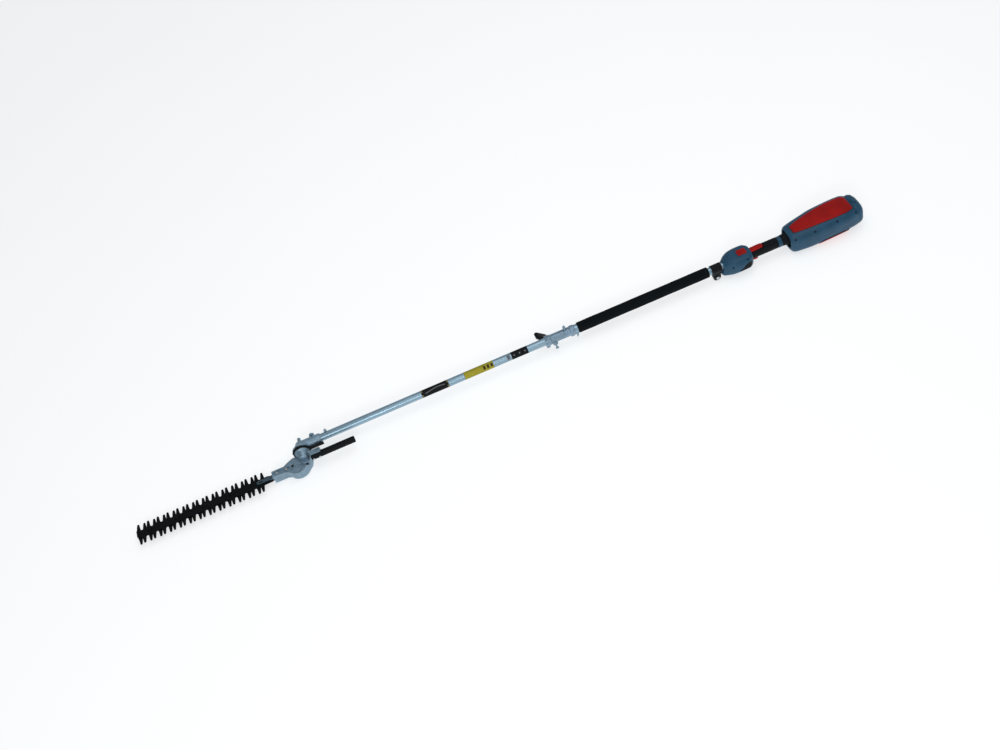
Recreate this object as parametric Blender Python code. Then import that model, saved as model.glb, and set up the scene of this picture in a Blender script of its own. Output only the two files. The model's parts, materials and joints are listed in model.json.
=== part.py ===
"""Battery pole hedge trimmer: rear housing, handle, two-piece pole and folding head.

The pole lies along X with the blade towards +X. The origin is on the flat pad of the
battery's end, the pole's axis is the X axis, and +Z is the side of the lock lever.
Sizes below are in millimetres; MM turns them into metres when a mesh is made.
"""
import math

import bmesh
import bpy
from mathutils import Vector

MM = 0.001
GAP = 0.3                # between pieces that touch
WALL = 3.0               # of the plastic housings

TUBE_R = 13.0            # both pole tubes, outside
TUBE_BORE_R = 11.5
SOCKET_R = 13.3          # every hole that a tube sits in
SHAFT_R = 4.0            # drive shaft

REAR_END = 264.0         # front end of the rear housing
GRIP_START = 299.0
CONTROL_START = 398.0
CONTROL_END = 500.0
CLAMP_START = 504.5
FOAM_START = 550.5
FOAM_END = 1027.0
FOAM_R = 18.3
COUPLER_START = 1039.0
COUPLER_END = 1144.0
UPPER_TUBE_END = 1079.0
LOWER_TUBE_START = 1087.0
LOWER_TUBE_END = 2003.0
SIDE_TILT = math.radians(48.0)   # of the screws that stand out of the pole's side

FOLD_X = 2030.0          # fold axis, along Y
HEAD_Y = 58.0            # centre plane of gear case and blades
CRANK_X = 2058.0
CASE_TOP = -7.2
CASE_SPLIT = -17.6
CASE_BOTTOM = -40.8
NOSE_END = 2148.0
NECK_R = 19.6
NECK_START = 27.1

BEVEL_TEETH = 10
LAY_TEETH = 12
CRANK_TEETH = 36
BEVEL_OUT = 13.0         # cone distance of the bevel teeth's outer end
BEVEL_IN = 8.5
CRANK_THROW = 5.5        # half of each blade's stroke
REST_LEAD = 1.5          # how far each blade stands from mid-stroke at rest

BLADE_TIP = 2636.0
TOOTH_PITCH = 35.0
TEETH = 13               # along each edge of each blade
TOOTH_REACH = 40.0       # tooth tips, from the blade's centre line
WEB_HALF = 14.0
UPPER_BLADE_Z = (-24.0, -21.8)
LOWER_BLADE_Z = (-26.5, -24.3)
BOLT_SPACING = 97.0
BLADE_BOLTS = 4
BLADE_BOLT_R = 3.0
TOOTH_SHAPE = (          # along the blade from the tooth's middle, and out from the centre line
    (-9.2, WEB_HALF), (-6.6, WEB_HALF + 4), (-3.5, TOOTH_REACH - 1.6), (-2.0, TOOTH_REACH),
    (2.0, TOOTH_REACH), (3.5, TOOTH_REACH - 1.6), (6.6, WEB_HALF + 4), (9.2, WEB_HALF),
)

FINISHES = {
    "blue_housing": ((0.025, 0.085, 0.16), 0.45, 0.0),
    "red_trim": ((0.30, 0.01, 0.008), 0.4, 0.0),
    "black_rubber": ((0.012, 0.014, 0.016), 0.75, 0.0),
    "black_plastic": ((0.014, 0.015, 0.017), 0.5, 0.0),
    "foam": ((0.012, 0.014, 0.015), 0.95, 0.0),
    "bare_tube": ((0.36, 0.45, 0.52), 0.3, 1.0),
    "cast_aluminium": ((0.27, 0.34, 0.40), 0.5, 0.9),
    "steel": ((0.55, 0.57, 0.60), 0.3, 1.0),
    "bright_steel": ((0.75, 0.78, 0.80), 0.2, 1.0),
    "blade_steel": ((0.010, 0.011, 0.012), 0.45, 0.6),
    "black_metal": ((0.012, 0.013, 0.015), 0.45, 0.7),
    "copper_winding": ((0.42, 0.16, 0.06), 0.4, 0.9),
    "green_board": ((0.02, 0.12, 0.05), 0.5, 0.0),
}


def remove_everything():
    for old in list(bpy.data.objects):
        bpy.data.objects.remove(old, do_unlink=True)


def finish_material(name):
    known = bpy.data.materials.get(name)
    if known:
        return known
    colour, roughness, metallic = FINISHES[name]
    made = bpy.data.materials.new(name)
    made.use_nodes = True
    shader = made.node_tree.nodes["Principled BSDF"]
    shader.inputs["Base Color"].default_value = (*colour, 1.0)
    shader.inputs["Roughness"].default_value = roughness
    shader.inputs["Metallic"].default_value = metallic
    return made


# ---- mesh makers ------------------------------------------------------------------------

def skin(name, rings, finish, pivot=(0, 0, 0), hollow=False):
    """A closed body through rings of equally many points; a hollow one is a closed loop
    of rings, and any other is capped at both ends. Pivot becomes the object's origin."""
    count = len(rings[0])
    pivot = Vector(pivot)
    points = [(Vector(point) - pivot) * MM for ring in rings for point in ring]
    faces = []
    for i in range(len(rings) if hollow else len(rings) - 1):
        a = i * count
        b = (i + 1) % len(rings) * count
        for j in range(count):
            k = (j + 1) % count
            faces.append((a + j, a + k, b + k, b + j))
    if not hollow:
        last = (len(rings) - 1) * count
        faces.append(tuple(range(count)))
        faces.append(tuple(range(last, last + count)))
    mesh = bpy.data.meshes.new(name)
    mesh.from_pydata(points, [], faces)
    work = bmesh.new()
    work.from_mesh(mesh)
    bmesh.ops.recalc_face_normals(work, faces=work.faces)
    work.to_mesh(mesh)
    work.free()
    mesh.shade_smooth()
    mesh.set_sharp_from_angle(angle=math.radians(35.0))
    mesh.materials.append(finish_material(finish))
    made = bpy.data.objects.new(name, mesh)
    made.location = pivot * MM
    bpy.context.scene.collection.objects.link(made)
    return made


def place(axis, along, u, v):
    """A point from its distance along an axis and its two other coordinates."""
    if axis == "X":
        return (along, u, v)
    if axis == "Y":
        return (u, along, v)
    return (u, v, along)


def circle(sides, radius, centre=(0.0, 0.0), phase=0.0):
    angles = [phase + math.tau * i / sides for i in range(sides)]
    return [(centre[0] + radius * math.cos(a), centre[1] + radius * math.sin(a)) for a in angles]


def turned(name, axis, centre, profile, finish, sides=20, hollow=False, pivot=None):
    """A round body about an axis through centre, from (distance along, radius) pairs."""
    rings = []
    for along, radius in profile:
        rings.append([place(axis, along, u, v) for u, v in circle(sides, radius, centre)])
    if pivot is None:
        pivot = place(axis, profile[0][0], *centre)
    return skin(name, rings, finish, pivot, hollow)


def prism(name, axis, outline, low, high, finish, pivot=(0, 0, 0)):
    rings = [[place(axis, along, u, v) for u, v in outline] for along in (low, high)]
    return skin(name, rings, finish, pivot)


def block(name, low, high, finish, pivot=(0, 0, 0)):
    outline = [(low[0], low[1]), (high[0], low[1]), (high[0], high[1]), (low[0], high[1])]
    return prism(name, "Z", outline, low[2], high[2], finish, pivot)


def rounded_box(half_u, half_v, corner, centre=(0.0, 0.0), steps=3):
    """Outline of a rectangle with round corners."""
    points = []
    for quarter, (su, sv) in enumerate(((1, 1), (-1, 1), (-1, -1), (1, -1))):
        for step in range(steps + 1):
            a = math.pi / 2 * (quarter + step / steps)
            u = centre[0] + su * (half_u - corner) + corner * math.cos(a)
            v = centre[1] + sv * (half_v - corner) + corner * math.sin(a)
            points.append((u, v))
    return points


def combine(target, other, operation):
    change = target.modifiers.new(operation.lower(), "BOOLEAN")
    change.operation = operation
    change.solver = "EXACT"
    change.object = other
    other.hide_render = True
    other.display_type = "WIRE"
    return target


def fuse(target, *others):
    for other in others:
        combine(target, other, "UNION")
    return target


def cut(target, *others):
    for other in others:
        combine(target, other, "DIFFERENCE")
    return target


def tilted(made):
    """Turn a body made about Z so that it stands out of the pole's side."""
    made.rotation_euler = (SIDE_TILT, 0.0, 0.0)
    return made


# ---- sections across the pole -----------------------------------------------------------

def oval_point(t, half_width, top, bottom, power):
    """Point of a superellipse, t radians from its top towards +Y."""
    middle = (top + bottom) / 2
    half = (top - bottom) / 2
    s, c = math.sin(t), math.cos(t)
    y = half_width * math.copysign(abs(s) ** (2 / power), s)
    z = middle + half * math.copysign(abs(c) ** (2 / power), c)
    return y, z


def oval(x, half_width, top, bottom, power=2.0, sides=24, lean=0.0):
    points = [oval_point(math.tau * i / sides, half_width, top, bottom, power) for i in range(sides)]
    return [(x + lean * z, y, z) for y, z in points]


def shell_ring(side, station, steps=10):
    """C-shaped section of a housing half: the outer half oval, then the inner one back."""
    x, outer, inner_x, inner, lean, inner_power = station
    ring = []
    for i in range(steps + 1):
        y, z = oval_point(math.pi * i / steps, *outer, 3.4)
        ring.append((x + lean * z, side * max(y, GAP / 2), z))
    for i in range(steps, -1, -1):
        y, z = oval_point(math.pi * i / steps, *inner, inner_power)
        ring.append((inner_x + lean * z, side * max(y, GAP / 2), z))
    return ring


def station(x, half_width, top, bottom, inner=None, inner_x=None, lean=0.0, inner_power=3.4):
    if inner is None:
        inner = (half_width - WALL, top - WALL, bottom + WALL)
    return (x, (half_width, top, bottom), x if inner_x is None else inner_x, inner, lean, inner_power)


def half_shells(prefix, stations, finish):
    halves = []
    for word, side in (("right", 1), ("left", -1)):
        rings = [shell_ring(side, entry) for entry in stations]
        halves.append(skin(f"{prefix}_{word}", rings, finish))
    return halves


# ---- rear housing, motor and battery ----------------------------------------------------

BOOT_HOLE = (22.6, 22.6, -22.6)
REAR_LEAN = 0.28
REAR_STATIONS = [
    station(19.6, 51, 44, -30, lean=REAR_LEAN),
    station(45, 56.5, 49.5, -34, lean=0.1),
    station(75, 58, 49.5, -36),
    station(110, 58, 48, -38),
    station(155, 57, 45, -41),
    station(190, 53.5, 40, -45.5),
    station(206, 51.5, 37.5, -46.5),
    station(243, 46, 31.5, -46.5),
    station(257, 42, 28.5, -42.5),
    station(260.5, 38.5, 27, -38.5, BOOT_HOLE, 260.2, inner_power=2.0),
    station(REAR_END, 33, 25.6, -31.5, BOOT_HOLE, inner_power=2.0),
]


def rear_size(x):
    """Half width, top and bottom of the rear housing, straight between its stations."""
    for first, second in zip(REAR_STATIONS, REAR_STATIONS[1:]):
        if first[0] <= x <= second[0]:
            share = (x - first[0]) / (second[0] - first[0])
            return [a + share * (b - a) for a, b in zip(first[1], second[1])]
    raise ValueError(x)


def insert_ring(x, reach, side, steps=8):
    """Section of a trim pad that lies on the rear housing, side 1 on top and -1 below."""
    half_width, top, bottom = rear_size(x)
    middle = (top + bottom) / 2
    half = (top - bottom) / 2
    inner, outer = [], []
    for i in range(steps + 1):
        y = reach * (2 * i / steps - 1)
        z = middle + side * half * (1 - abs(y / half_width) ** 3.4) ** (1 / 3.4)
        inner.append((x, y, z + side * 0.9))
        outer.append((x, y, z + side * 2.3))
    return outer + inner[::-1]


def make_rear_housing():
    half_shells("rear_shell", REAR_STATIONS, "blue_housing")
    top_pad = ((36, 24), (40, 30), (45, 33.5), (52, 35.5), (75, 37.2), (102, 37), (147, 34),
               (187, 28.5), (205, 25.5), (233, 19), (244, 15.5))
    rings = [insert_ring(x, reach, 1) for x, reach in top_pad]
    skin("rear_top_insert", rings, "red_trim")
    low_pad = ((62, 22), (75, 33), (110, 37), (155, 33), (170, 24))
    rings = [insert_ring(x, reach, -1) for x, reach in low_pad]
    skin("rear_bottom_insert", rings, "red_trim")
    boot = [oval(256, 22, 22, -22), oval(267, 22, 22.5, -22), oval(274, 19.8, 21.4, -19.8),
            oval(284.8, 18.6, 20.6, -18.6)]
    bore = [oval(x, SOCKET_R, SOCKET_R, -SOCKET_R) for x in (284.8, 256)]
    skin("neck_boot", boot + bore, "black_rubber", (256, 0, 0), hollow=True)


def make_battery():
    plug = (39.4, 31.4, -22.4)
    rings = [
        oval(150, *plug, 3.4, 24),
        oval(19.0, *plug, 3.4, 24, REAR_LEAN),
        oval(19.0, 48.5, 44.5, -28, 3.4, 24, REAR_LEAN),
        oval(13.0, 48.5, 46.5, -27, 3.4, 24, 0.21),
        oval(6.5, 44.5, 44.5, -22, 3.2, 24, 0.12),
        oval(2.0, 36, 37.5, -14.5, 3.0, 24, 0.04),
        oval(0.0, 28, 30, -10, 2.8, 24),
    ]
    pack = skin("battery_pack", rings, "blue_housing")
    pocket = block("latch_pocket", (13, -10, 37), (27, 10, 60), "blue_housing")
    cut(pack, pocket)
    latch_side = [(13.5, 40), (26.3, 40), (26.3, 48.4), (22, 49), (16, 47.6), (13.5, 45)]
    prism("battery_latch", "Y", latch_side, -9.6, 9.6, "blue_housing", (19.5, 0, 40))


def make_motor():
    stator = [(176, 27), (226, 27), (226, 17.5), (176, 17.5)]
    turned("motor_stator", "X", (0, 0), stator, "copper_winding", hollow=True)
    rotor = [(169, SHAFT_R), (179, SHAFT_R), (179, 16.8), (223, 16.8), (223, SHAFT_R),
             (231, SHAFT_R), (231, 21), (239, 21), (239, SHAFT_R), (253.8, SHAFT_R)]
    turned("motor_rotor", "X", (0, 0), rotor, "steel")
    block("controller_board", (155, -32, -18), (165, 32, 26), "green_board")


# ---- handle and control housing ---------------------------------------------------------

BUTTON_X = 428.0
BUTTON_HALF_X = 16.0
BUTTON_HALF_Y = 13.0
BUTTON_CORNER = 3.5
BEZEL_WALL = 1.9
LEVER_HINGE = (403.0, 0.0, 18.0)
TRIGGER_HINGE = (414.0, 0.0, -20.0)
PIN_R = 1.5
CONTROL_DOOR = (19.6, 22.8, -25.4)       # rear opening, round the handle, lever and trigger
TUBE_HOLE = (SOCKET_R + 0.3, SOCKET_R + 0.3, -SOCKET_R - 0.3)
CONTROL_STATIONS = [
    station(CONTROL_START, 27, 25.6, -28.2, CONTROL_DOOR, inner_power=2.6),
    station(402, 31.5, 27, -29.4, CONTROL_DOOR, 401, inner_power=2.6),
    station(406, 35, 27.8, -29.8, (28, 24.2, -26.4), 401.4),
    station(414, 40, 28.5, -30.5),
    station(439, 41, 28.5, -31.5),
    station(464, 38, 27.5, -34),
    station(482, 30.5, 24, -36.5),
    station(492, 24.5, 20, -36, (21, 16.8, -32.5), 490, -0.1),
    station(495, 22, 18.4, -34.5, TUBE_HOLE, 493, -0.2, 2.0),
    station(CONTROL_END, 17.5, 16.4, -30, TUBE_HOLE, None, -0.2, 2.0),
]


def make_handle():
    turned("grip_band", "X", (0, 0.5), [(285.1, 18.9), (298.7, 18.9), (298.7, SOCKET_R + 0.5),
           (285.1, SOCKET_R + 0.5)], "blue_housing", hollow=True)
    outer = [oval(GRIP_START, 17.4, 20.2, -18.4), oval(305, 18, 21, -19),
             oval(CONTROL_START - GAP, 18, 21, -19)]
    bore = [oval(x, SOCKET_R, SOCKET_R, -SOCKET_R) for x in (CONTROL_START - GAP, GRIP_START)]
    grip = skin("handle_grip", outer + bore, "black_rubber", (GRIP_START, 0, 0), hollow=True)
    lever_slot = block("lever_slot", (348.5, -10.5, 14.2), (404, 10.5, 30), "black_rubber")
    trigger_slot = block("trigger_slot", (368, -8.6, -30), (404, 8.6, -14.2), "black_rubber")
    cut(grip, lever_slot, trigger_slot)


def make_lever_and_trigger():
    lever_sections = ((351.5, 5, 21.2, 18.4), (352.7, 7.4, 22.4, 18.2), (356.5, 9.2, 23.2, 18),
                      (371, 9.9, 22.8, 17), (398, 10, 21.6, 15.4), (407, 10, 20.8, 15.2))
    rings = [oval(x, half, top, bottom, 4.0, 16) for x, half, top, bottom in lever_sections]
    lever = skin("lock_lever", rings, "red_trim", LEVER_HINGE)
    trigger_side = [(372, -20.6), (394, -17.2), (420, -16.6), (421, -23.4), (396, -24.6),
                    (378, -26.8), (373, -25)]
    trigger = prism("trigger", "Y", trigger_side, -8, 8, "red_trim", TRIGGER_HINGE)
    for moving, hinge, name, reach in (
        (lever, LEVER_HINGE, "lock_lever_pin", 22.5),
        (trigger, TRIGGER_HINGE, "trigger_pin", 24.0),
    ):
        middle = (hinge[0], hinge[2])
        hole = turned(name + "_hole", "Y", middle, [(-12, PIN_R + GAP), (12, PIN_R + GAP)], "steel", 8)
        cut(moving, hole)
        turned(name, "Y", middle, [(-reach, PIN_R), (reach, PIN_R)], "steel", 8)
    block("trigger_switch", (425, -8, -25.5), (449, 8, -14.5), "black_plastic")


def make_control_housing():
    halves = half_shells("control_shell", CONTROL_STATIONS, "blue_housing")
    window = button_outline(BEZEL_WALL + 2 * GAP)
    window = prism("button_window", "Z", window, 19, 40, "blue_housing")
    for half in halves:
        cut(half, window)
    rings = []
    for margin, z in ((GAP + BEZEL_WALL, 20.0), (GAP + BEZEL_WALL, 29.2), (GAP, 29.2), (GAP, 20.0)):
        rings.append([(x, y, z) for x, y in button_outline(margin)])
    skin("button_bezel", rings, "blue_housing", hollow=True)
    prism("power_button", "Z", button_outline(0), 21, 29.9, "red_trim", (BUTTON_X, 0, 21))


def button_outline(margin):
    """Outline of the power button, or of a ring that much further out."""
    return rounded_box(BUTTON_HALF_X + margin, BUTTON_HALF_Y + margin, BUTTON_CORNER + margin, (BUTTON_X, 0))


# ---- pole, hanger, foam grip and coupler ------------------------------------------------

def pole_tube(name, start, end):
    profile = [(start, TUBE_R), (end, TUBE_R), (end, TUBE_BORE_R), (start, TUBE_BORE_R)]
    return turned(name, "X", (0, 0), profile, "bare_tube", 24, hollow=True)


def make_pole():
    pole_tube("upper_tube", REAR_END - 8, UPPER_TUBE_END)
    pole_tube("lower_tube", LOWER_TUBE_START, LOWER_TUBE_END)
    cup_r = 7.0
    upper = [(254.1, SHAFT_R), (1068, SHAFT_R), (1070, cup_r), (1092, cup_r), (1092, SHAFT_R + GAP),
             (1076, SHAFT_R + GAP)]
    turned("upper_drive_shaft", "X", (0, 0), upper, "steel", 12)
    bush = [(1500, TUBE_BORE_R - GAP), (1530, TUBE_BORE_R - GAP), (1530, SHAFT_R + GAP),
            (1500, SHAFT_R + GAP)]
    turned("shaft_bush", "X", (0, 0), bush, "black_plastic", 16, hollow=True)
    foam = [(FOAM_START, FOAM_R - 1.5), (FOAM_START + 1.5, FOAM_R), (FOAM_END - 1.5, FOAM_R),
            (FOAM_END, FOAM_R - 1.5), (FOAM_END, SOCKET_R), (FOAM_START, SOCKET_R)]
    turned("foam_grip", "X", (0, 0), foam, "foam", 24, hollow=True)
    screw = [(TUBE_R + GAP, 5.5), (TUBE_R + 4, 5.5), (TUBE_R + 6, 4), (TUBE_R + 9.5, 3)]
    made = turned("tube_screw", "Z", (0, 0), screw, "cast_aluminium", 12, pivot=(0, 0, 0))
    made.location.x = 1935 * MM
    tilted(made)


def make_hanger():
    end = CLAMP_START + 36
    ring = [(CLAMP_START, 16.8), (end, 16.8), (end, SOCKET_R), (CLAMP_START, SOCKET_R)]
    clamp = turned("hanger_clamp", "X", (0, 0), ring, "black_metal", 24, hollow=True)
    eye = (CLAMP_START + 18, -36.0)
    lug_side = [(eye[0] + 13.5 * math.cos(a), eye[1] + 13.5 * math.sin(a))
                for a in (math.radians(180 + 22.5 * i) for i in range(9))]
    lug_side += [(CLAMP_START + 33, -14), (CLAMP_START + 4, -14)]
    lug = prism("hanger_lug", "Y", lug_side, -8, 8, "black_metal")
    hole = turned("hanger_hole", "Y", eye, [(-12, 3.4), (12, 3.4)], "black_metal", 12)
    fuse(clamp, lug)
    cut(clamp, hole)
    bolt = [(-10, 3), (8.4, 3), (8.4, 6.2), (12, 6.2), (13, 5.2)]
    turned("hanger_bolt", "Y", eye, bolt, "bright_steel", 12)


def make_coupler():
    outer = [(COUPLER_START, 17), (1041, 18), (1053, 18), (1055.5, 15.8), (1124, 15.8), (1127, 18),
             (1142, 18), (COUPLER_END, 17)]
    bore = [(COUPLER_END, SOCKET_R), (COUPLER_START, SOCKET_R)]
    body = turned("coupler_body", "X", (0, 0), outer + bore, "cast_aluminium", 24, hollow=True)
    tail_lug = block("coupler_tail_lug", (1042, -6, -24), (1055, 6, -14), "cast_aluminium")
    knob_axis = (1139.0, -20.5)
    knob_lug = turned("coupler_knob_lug", "Y", knob_axis, [(-9.6, 7), (8.8, 7), (9.8, 6)],
                      "cast_aluminium", 16)
    boss = turned("coupler_boss", "Z", (1071, 0), [(14, 6.5), (21, 5.6)], "cast_aluminium", 12)
    screw_lug = turned("coupler_screw_lug", "Z", (0, 0), [(-24, 7.5), (-14, 10)], "cast_aluminium", 12,
                       pivot=(0, 0, 0))
    screw_lug.location.x = 1114.5 * MM
    tilted(screw_lug)
    fuse(body, tail_lug, knob_lug, boss, screw_lug)
    knob_hole = turned("knob_hole", "Y", knob_axis, [(-20, 3.5), (6, 3.5)], "cast_aluminium", 12)
    pin_hole = turned("pin_hole", "Z", (1071, 0), [(13.4, 3.1), (30, 3.1)], "cast_aluminium", 12)
    screw_hole = turned("screw_hole", "Z", (0, 0), [(-40, 3.5), (-14.2, 3.5)], "cast_aluminium", 12,
                        pivot=(0, 0, 0))
    screw_hole.location.x = 1114.5 * MM
    tilted(screw_hole)
    cut(body, knob_hole, pin_hole, screw_hole)

    tip = (1162.0, 6.0)
    lever_side = [(knob_axis[0] + 9.5 * math.cos(a), knob_axis[1] + 9.5 * math.sin(a))
                  for a in (math.radians(150 + 25.0 * i) for i in range(8))]
    lever_side += [(tip[0] + 7 * math.cos(a), tip[1] + 7 * math.sin(a))
                   for a in (math.radians(-30 + 35.0 * i) for i in range(6))]
    pivot = (knob_axis[0], -30.0, knob_axis[1])
    knob = prism("coupler_knob", "Y", lever_side, -43, -24, "black_plastic", pivot)
    neck = turned("knob_neck", "Y", knob_axis, [(-26, 6), (-10.6, 5)], "black_plastic", 12)
    stem = turned("knob_stem", "Y", knob_axis, [(-30, 3.1), (5, 3.1)], "black_plastic", 12)
    fuse(knob, neck, stem)

    pin = [(13.6, 2.7), (21.4, 2.7), (21.4, 5.4), (33, 4.8), (37, 2.6)]
    turned("locating_pin", "Z", (1071, 0), pin, "cast_aluminium", 12)
    screw = [(-14.6, 3.1), (-31.5, 3.1), (-31.5, 5.6), (-36.5, 5.6), (-37.5, 4.6)]
    made = turned("coupler_screw", "Z", (0, 0), screw, "steel", 12, pivot=(0, 0, 0))
    made.location.x = 1114.5 * MM
    tilted(made)

    band = [(1027.6, 15.4), (1038.6, 15.4), (1038.6, SOCKET_R), (1027.6, SOCKET_R)]
    ring = turned("tab_ring", "X", (0, 0), band, "bare_tube", 24, hollow=True)
    tab_side = [(1028, -14.5), (1038, -14.5), (1038, -29), (1030, -22)]
    tab = prism("ring_tab", "Y", tab_side, -1, 1, "bare_tube")
    tilted(tab)
    fuse(ring, tab)


# ---- gears ------------------------------------------------------------------------------

def tooth_angles(teeth, phase):
    """Four angles for each tooth, root, tip, tip, root, with the share of the pitch each has."""
    pitch = math.tau / teeth
    angles = []
    for i in range(teeth):
        for share, at_tip in ((-0.25, False), (-0.11, True), (0.11, True), (0.25, False)):
            angles.append((phase + pitch * (i + share), at_tip))
    return angles


def spur_outline(teeth, module, centre, phase):
    pitch_r = teeth * module / 2
    points = []
    for angle, at_tip in tooth_angles(teeth, phase):
        radius = pitch_r + (0.8 if at_tip else -1.1) * module
        points.append((centre[0] + radius * math.cos(angle), centre[1] + radius * math.sin(angle)))
    return points


def bevel_rings(axis, apex, way, angles, tip_angle, root_angle):
    """Rings of a 45 degree bevel gear about an axis through its apex, from the inner end of
    the teeth to the back. Way is the side of the apex that the gear is on."""
    along = {"X": apex[0], "Y": apex[1], "Z": apex[2]}[axis]
    centre = {"X": apex[1:], "Y": (apex[0], apex[2]), "Z": apex[:2]}[axis]

    def toothed(distance):
        ring = []
        for angle, at_tip in angles:
            cone = math.radians(tip_angle if at_tip else root_angle)
            r = distance * math.sin(cone)
            ring.append(place(axis, along + way * distance * math.cos(cone),
                              centre[0] + r * math.cos(angle), centre[1] + r * math.sin(angle)))
        return ring

    def plain(distance, r):
        return [place(axis, along + way * distance, centre[0] + r * math.cos(a),
                      centre[1] + r * math.sin(a)) for a, _ in angles]

    back = BEVEL_OUT * math.cos(math.radians(root_angle)) + 0.6
    return [plain(BEVEL_IN * math.cos(math.radians(root_angle)), 2.5), toothed(BEVEL_IN),
            toothed(BEVEL_OUT), plain(back, 5.0)], plain


MESHED = (51.5, 36.1)        # tip and root cone angles of the pair that meshes in the neck
CLEARED = (43.6, 36.1)       # tip cone that stays clear of its mate, at the fold


def make_gears():
    fold = (FOLD_X, 0.0, 0.0)
    turn = (FOLD_X, HEAD_Y, 0.0)
    pitch = math.tau / BEVEL_TEETH

    angles = tooth_angles(BEVEL_TEETH, 0.0)
    head, plain = bevel_rings("X", fold, -1, angles, *CLEARED)
    shank = [plain(12, SHAFT_R), plain(FOLD_X - 1078, SHAFT_R)]
    skin("lower_drive_shaft", head + shank, "steel", (1078, 0, 0))

    angles = tooth_angles(BEVEL_TEETH, pitch / 2)
    near, plain = bevel_rings("Y", fold, 1, angles, *CLEARED)
    far, _ = bevel_rings("Y", turn, -1, angles, *MESHED)
    shank = [plain(12, SHAFT_R), plain(HEAD_Y - 12, SHAFT_R)]
    skin("cross_shaft", near + shank + far[::-1], "steel", fold)

    angles = tooth_angles(BEVEL_TEETH, 0.0)
    rings, plain = bevel_rings("Z", turn, -1, angles, *MESHED)
    lay = skin("lay_gear", rings + [plain(12.4, 4.0), plain(19.6, 4.0)], "steel", turn)
    module = 2 * (CRANK_X - FOLD_X) / (LAY_TEETH + CRANK_TEETH)
    outline = spur_outline(LAY_TEETH, module, (FOLD_X, HEAD_Y), math.pi / LAY_TEETH)
    fuse(lay, prism("lay_pinion", "Z", outline, -19.6, -12.4, "steel"))

    centre = (CRANK_X, HEAD_Y)
    outline = spur_outline(CRANK_TEETH, module, centre, 0.0)
    crank = prism("crank_gear", "Z", outline, -19.4, -12.6, "steel", (CRANK_X, HEAD_Y, -16))
    upper_cam = turned("upper_cam", "Z", (CRANK_X + CRANK_THROW, HEAD_Y), [(-24.1, 8), (-19, 8)], "steel", 16)
    lower_cam = turned("lower_cam", "Z", (CRANK_X - CRANK_THROW, HEAD_Y), [(-27, 8), (-24, 8)], "steel", 16)
    axle = turned("crank_axle", "Z", centre, [(-36, 5), (-9.5, 5)], "steel", 12)
    fuse(crank, upper_cam, lower_cam, axle)

    race = [(34, 14.8), (41, 14.8), (41, SHAFT_R + GAP), (34, SHAFT_R + GAP)]
    turned("neck_bearing", "Y", (FOLD_X, 0), race, "bright_steel", 16, hollow=True)


# ---- folding head -----------------------------------------------------------------------

def make_clamp_case():
    elbow = [(-16, 8), (-14.5, 12.5), (-8, 17), (2, 20), (9, 24), (14, 29), (15.5, 30.5), (21.5, 30.5)]
    case = turned("clamp_case", "Y", (FOLD_X, 0), elbow, "cast_aluminium", 24)
    socket = turned("clamp_socket", "X", (0, 0), [(1957, 16.2), (1959, 17), (2020, 17)],
                    "cast_aluminium", 24)
    ear = block("clamp_ear", (1976, -27, -10), (1992, -12, 8), "cast_aluminium")
    fuse(case, socket, ear)
    tube_bore = turned("tube_bore", "X", (0, 0), [(1950, SOCKET_R), (2003.5, SOCKET_R)],
                       "cast_aluminium", 24)
    gear_bore = turned("gear_bore", "X", (0, 0), [(1990, 12.2), (2043, 12.2)], "cast_aluminium", 16)
    neck_bore = turned("neck_bore", "Y", (FOLD_X, 0), [(-11, 12.2), (30, 13.5)], "cast_aluminium", 16)
    slit = block("clamp_slit", (1950, -32, -0.8), (1999, -10, 0.8), "cast_aluminium")
    bolt_hole = turned("pinch_hole", "Z", (1984, -21), [(-20, 2.8), (20, 2.8)], "cast_aluminium", 8)
    cut(case, tube_bore, gear_bore, neck_bore, slit, bolt_hole)
    bolt = [(-13, 2.4), (8.4, 2.4), (8.4, 5), (13.4, 5), (14.2, 4.2)]
    turned("pinch_bolt", "Z", (1984, -21), bolt, "cast_aluminium", 12)
    cap = [(-34, 5), (-33, 6), (-21, 6), (-20, 8.5), (-16.4, 8.5)]
    turned("pivot_bolt", "Y", (FOLD_X, 0), cap, "cast_aluminium", 12)


def make_index_plate():
    """Notched disc that the neck turns against, with a bar back along the pole."""
    sides = 36
    outer, inner = [], []
    for i in range(sides):
        a = math.tau * i / sides
        r = 29.5 if i % 3 == 0 else 31.5
        outer.append((FOLD_X + r * math.cos(a), r * math.sin(a)))
        inner.append((FOLD_X + 15.9 * math.cos(a), 15.9 * math.sin(a)))
    low, high = 21.8, 26.8
    rings = [[(x, y, z) for x, z in outline] for outline, y in
             ((outer, low), (outer, high), (inner, high), (inner, low))]
    plate = skin("index_plate", rings, "black_metal", (FOLD_X, low, 0), hollow=True)
    bar = block("index_bar", (1952, low, -5), (2004, high, 7), "black_metal")
    fuse(plate, bar)


def case_outline():
    """Gear case seen from above: nose, round bulge over the crank, and square back corner."""
    points = [(NOSE_END, HEAD_Y + 12.5), (2104, HEAD_Y + 12.5)]
    for i in range(9):
        a = math.radians(30 + 15 * i)
        points.append((CRANK_X + 37 * math.cos(a), HEAD_Y + 37 * math.sin(a)))
    points += [(2015, 66), (2008, 44), (2008, 28), (2070, 28), (2086, 35), (2104, HEAD_Y - 12.5),
               (NOSE_END, HEAD_Y - 12.5)]
    return points


def stadium(half_length, half_width, centre, steps=6):
    """Outline with round ends, long along X."""
    points = []
    for end in (1, -1):
        for i in range(steps + 1):
            a = math.pi * (i / steps - 0.5) + (0 if end == 1 else math.pi)
            points.append((centre[0] + end * (half_length - half_width) + half_width * math.cos(a),
                           centre[1] + half_width * math.sin(a)))
    return points


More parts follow.
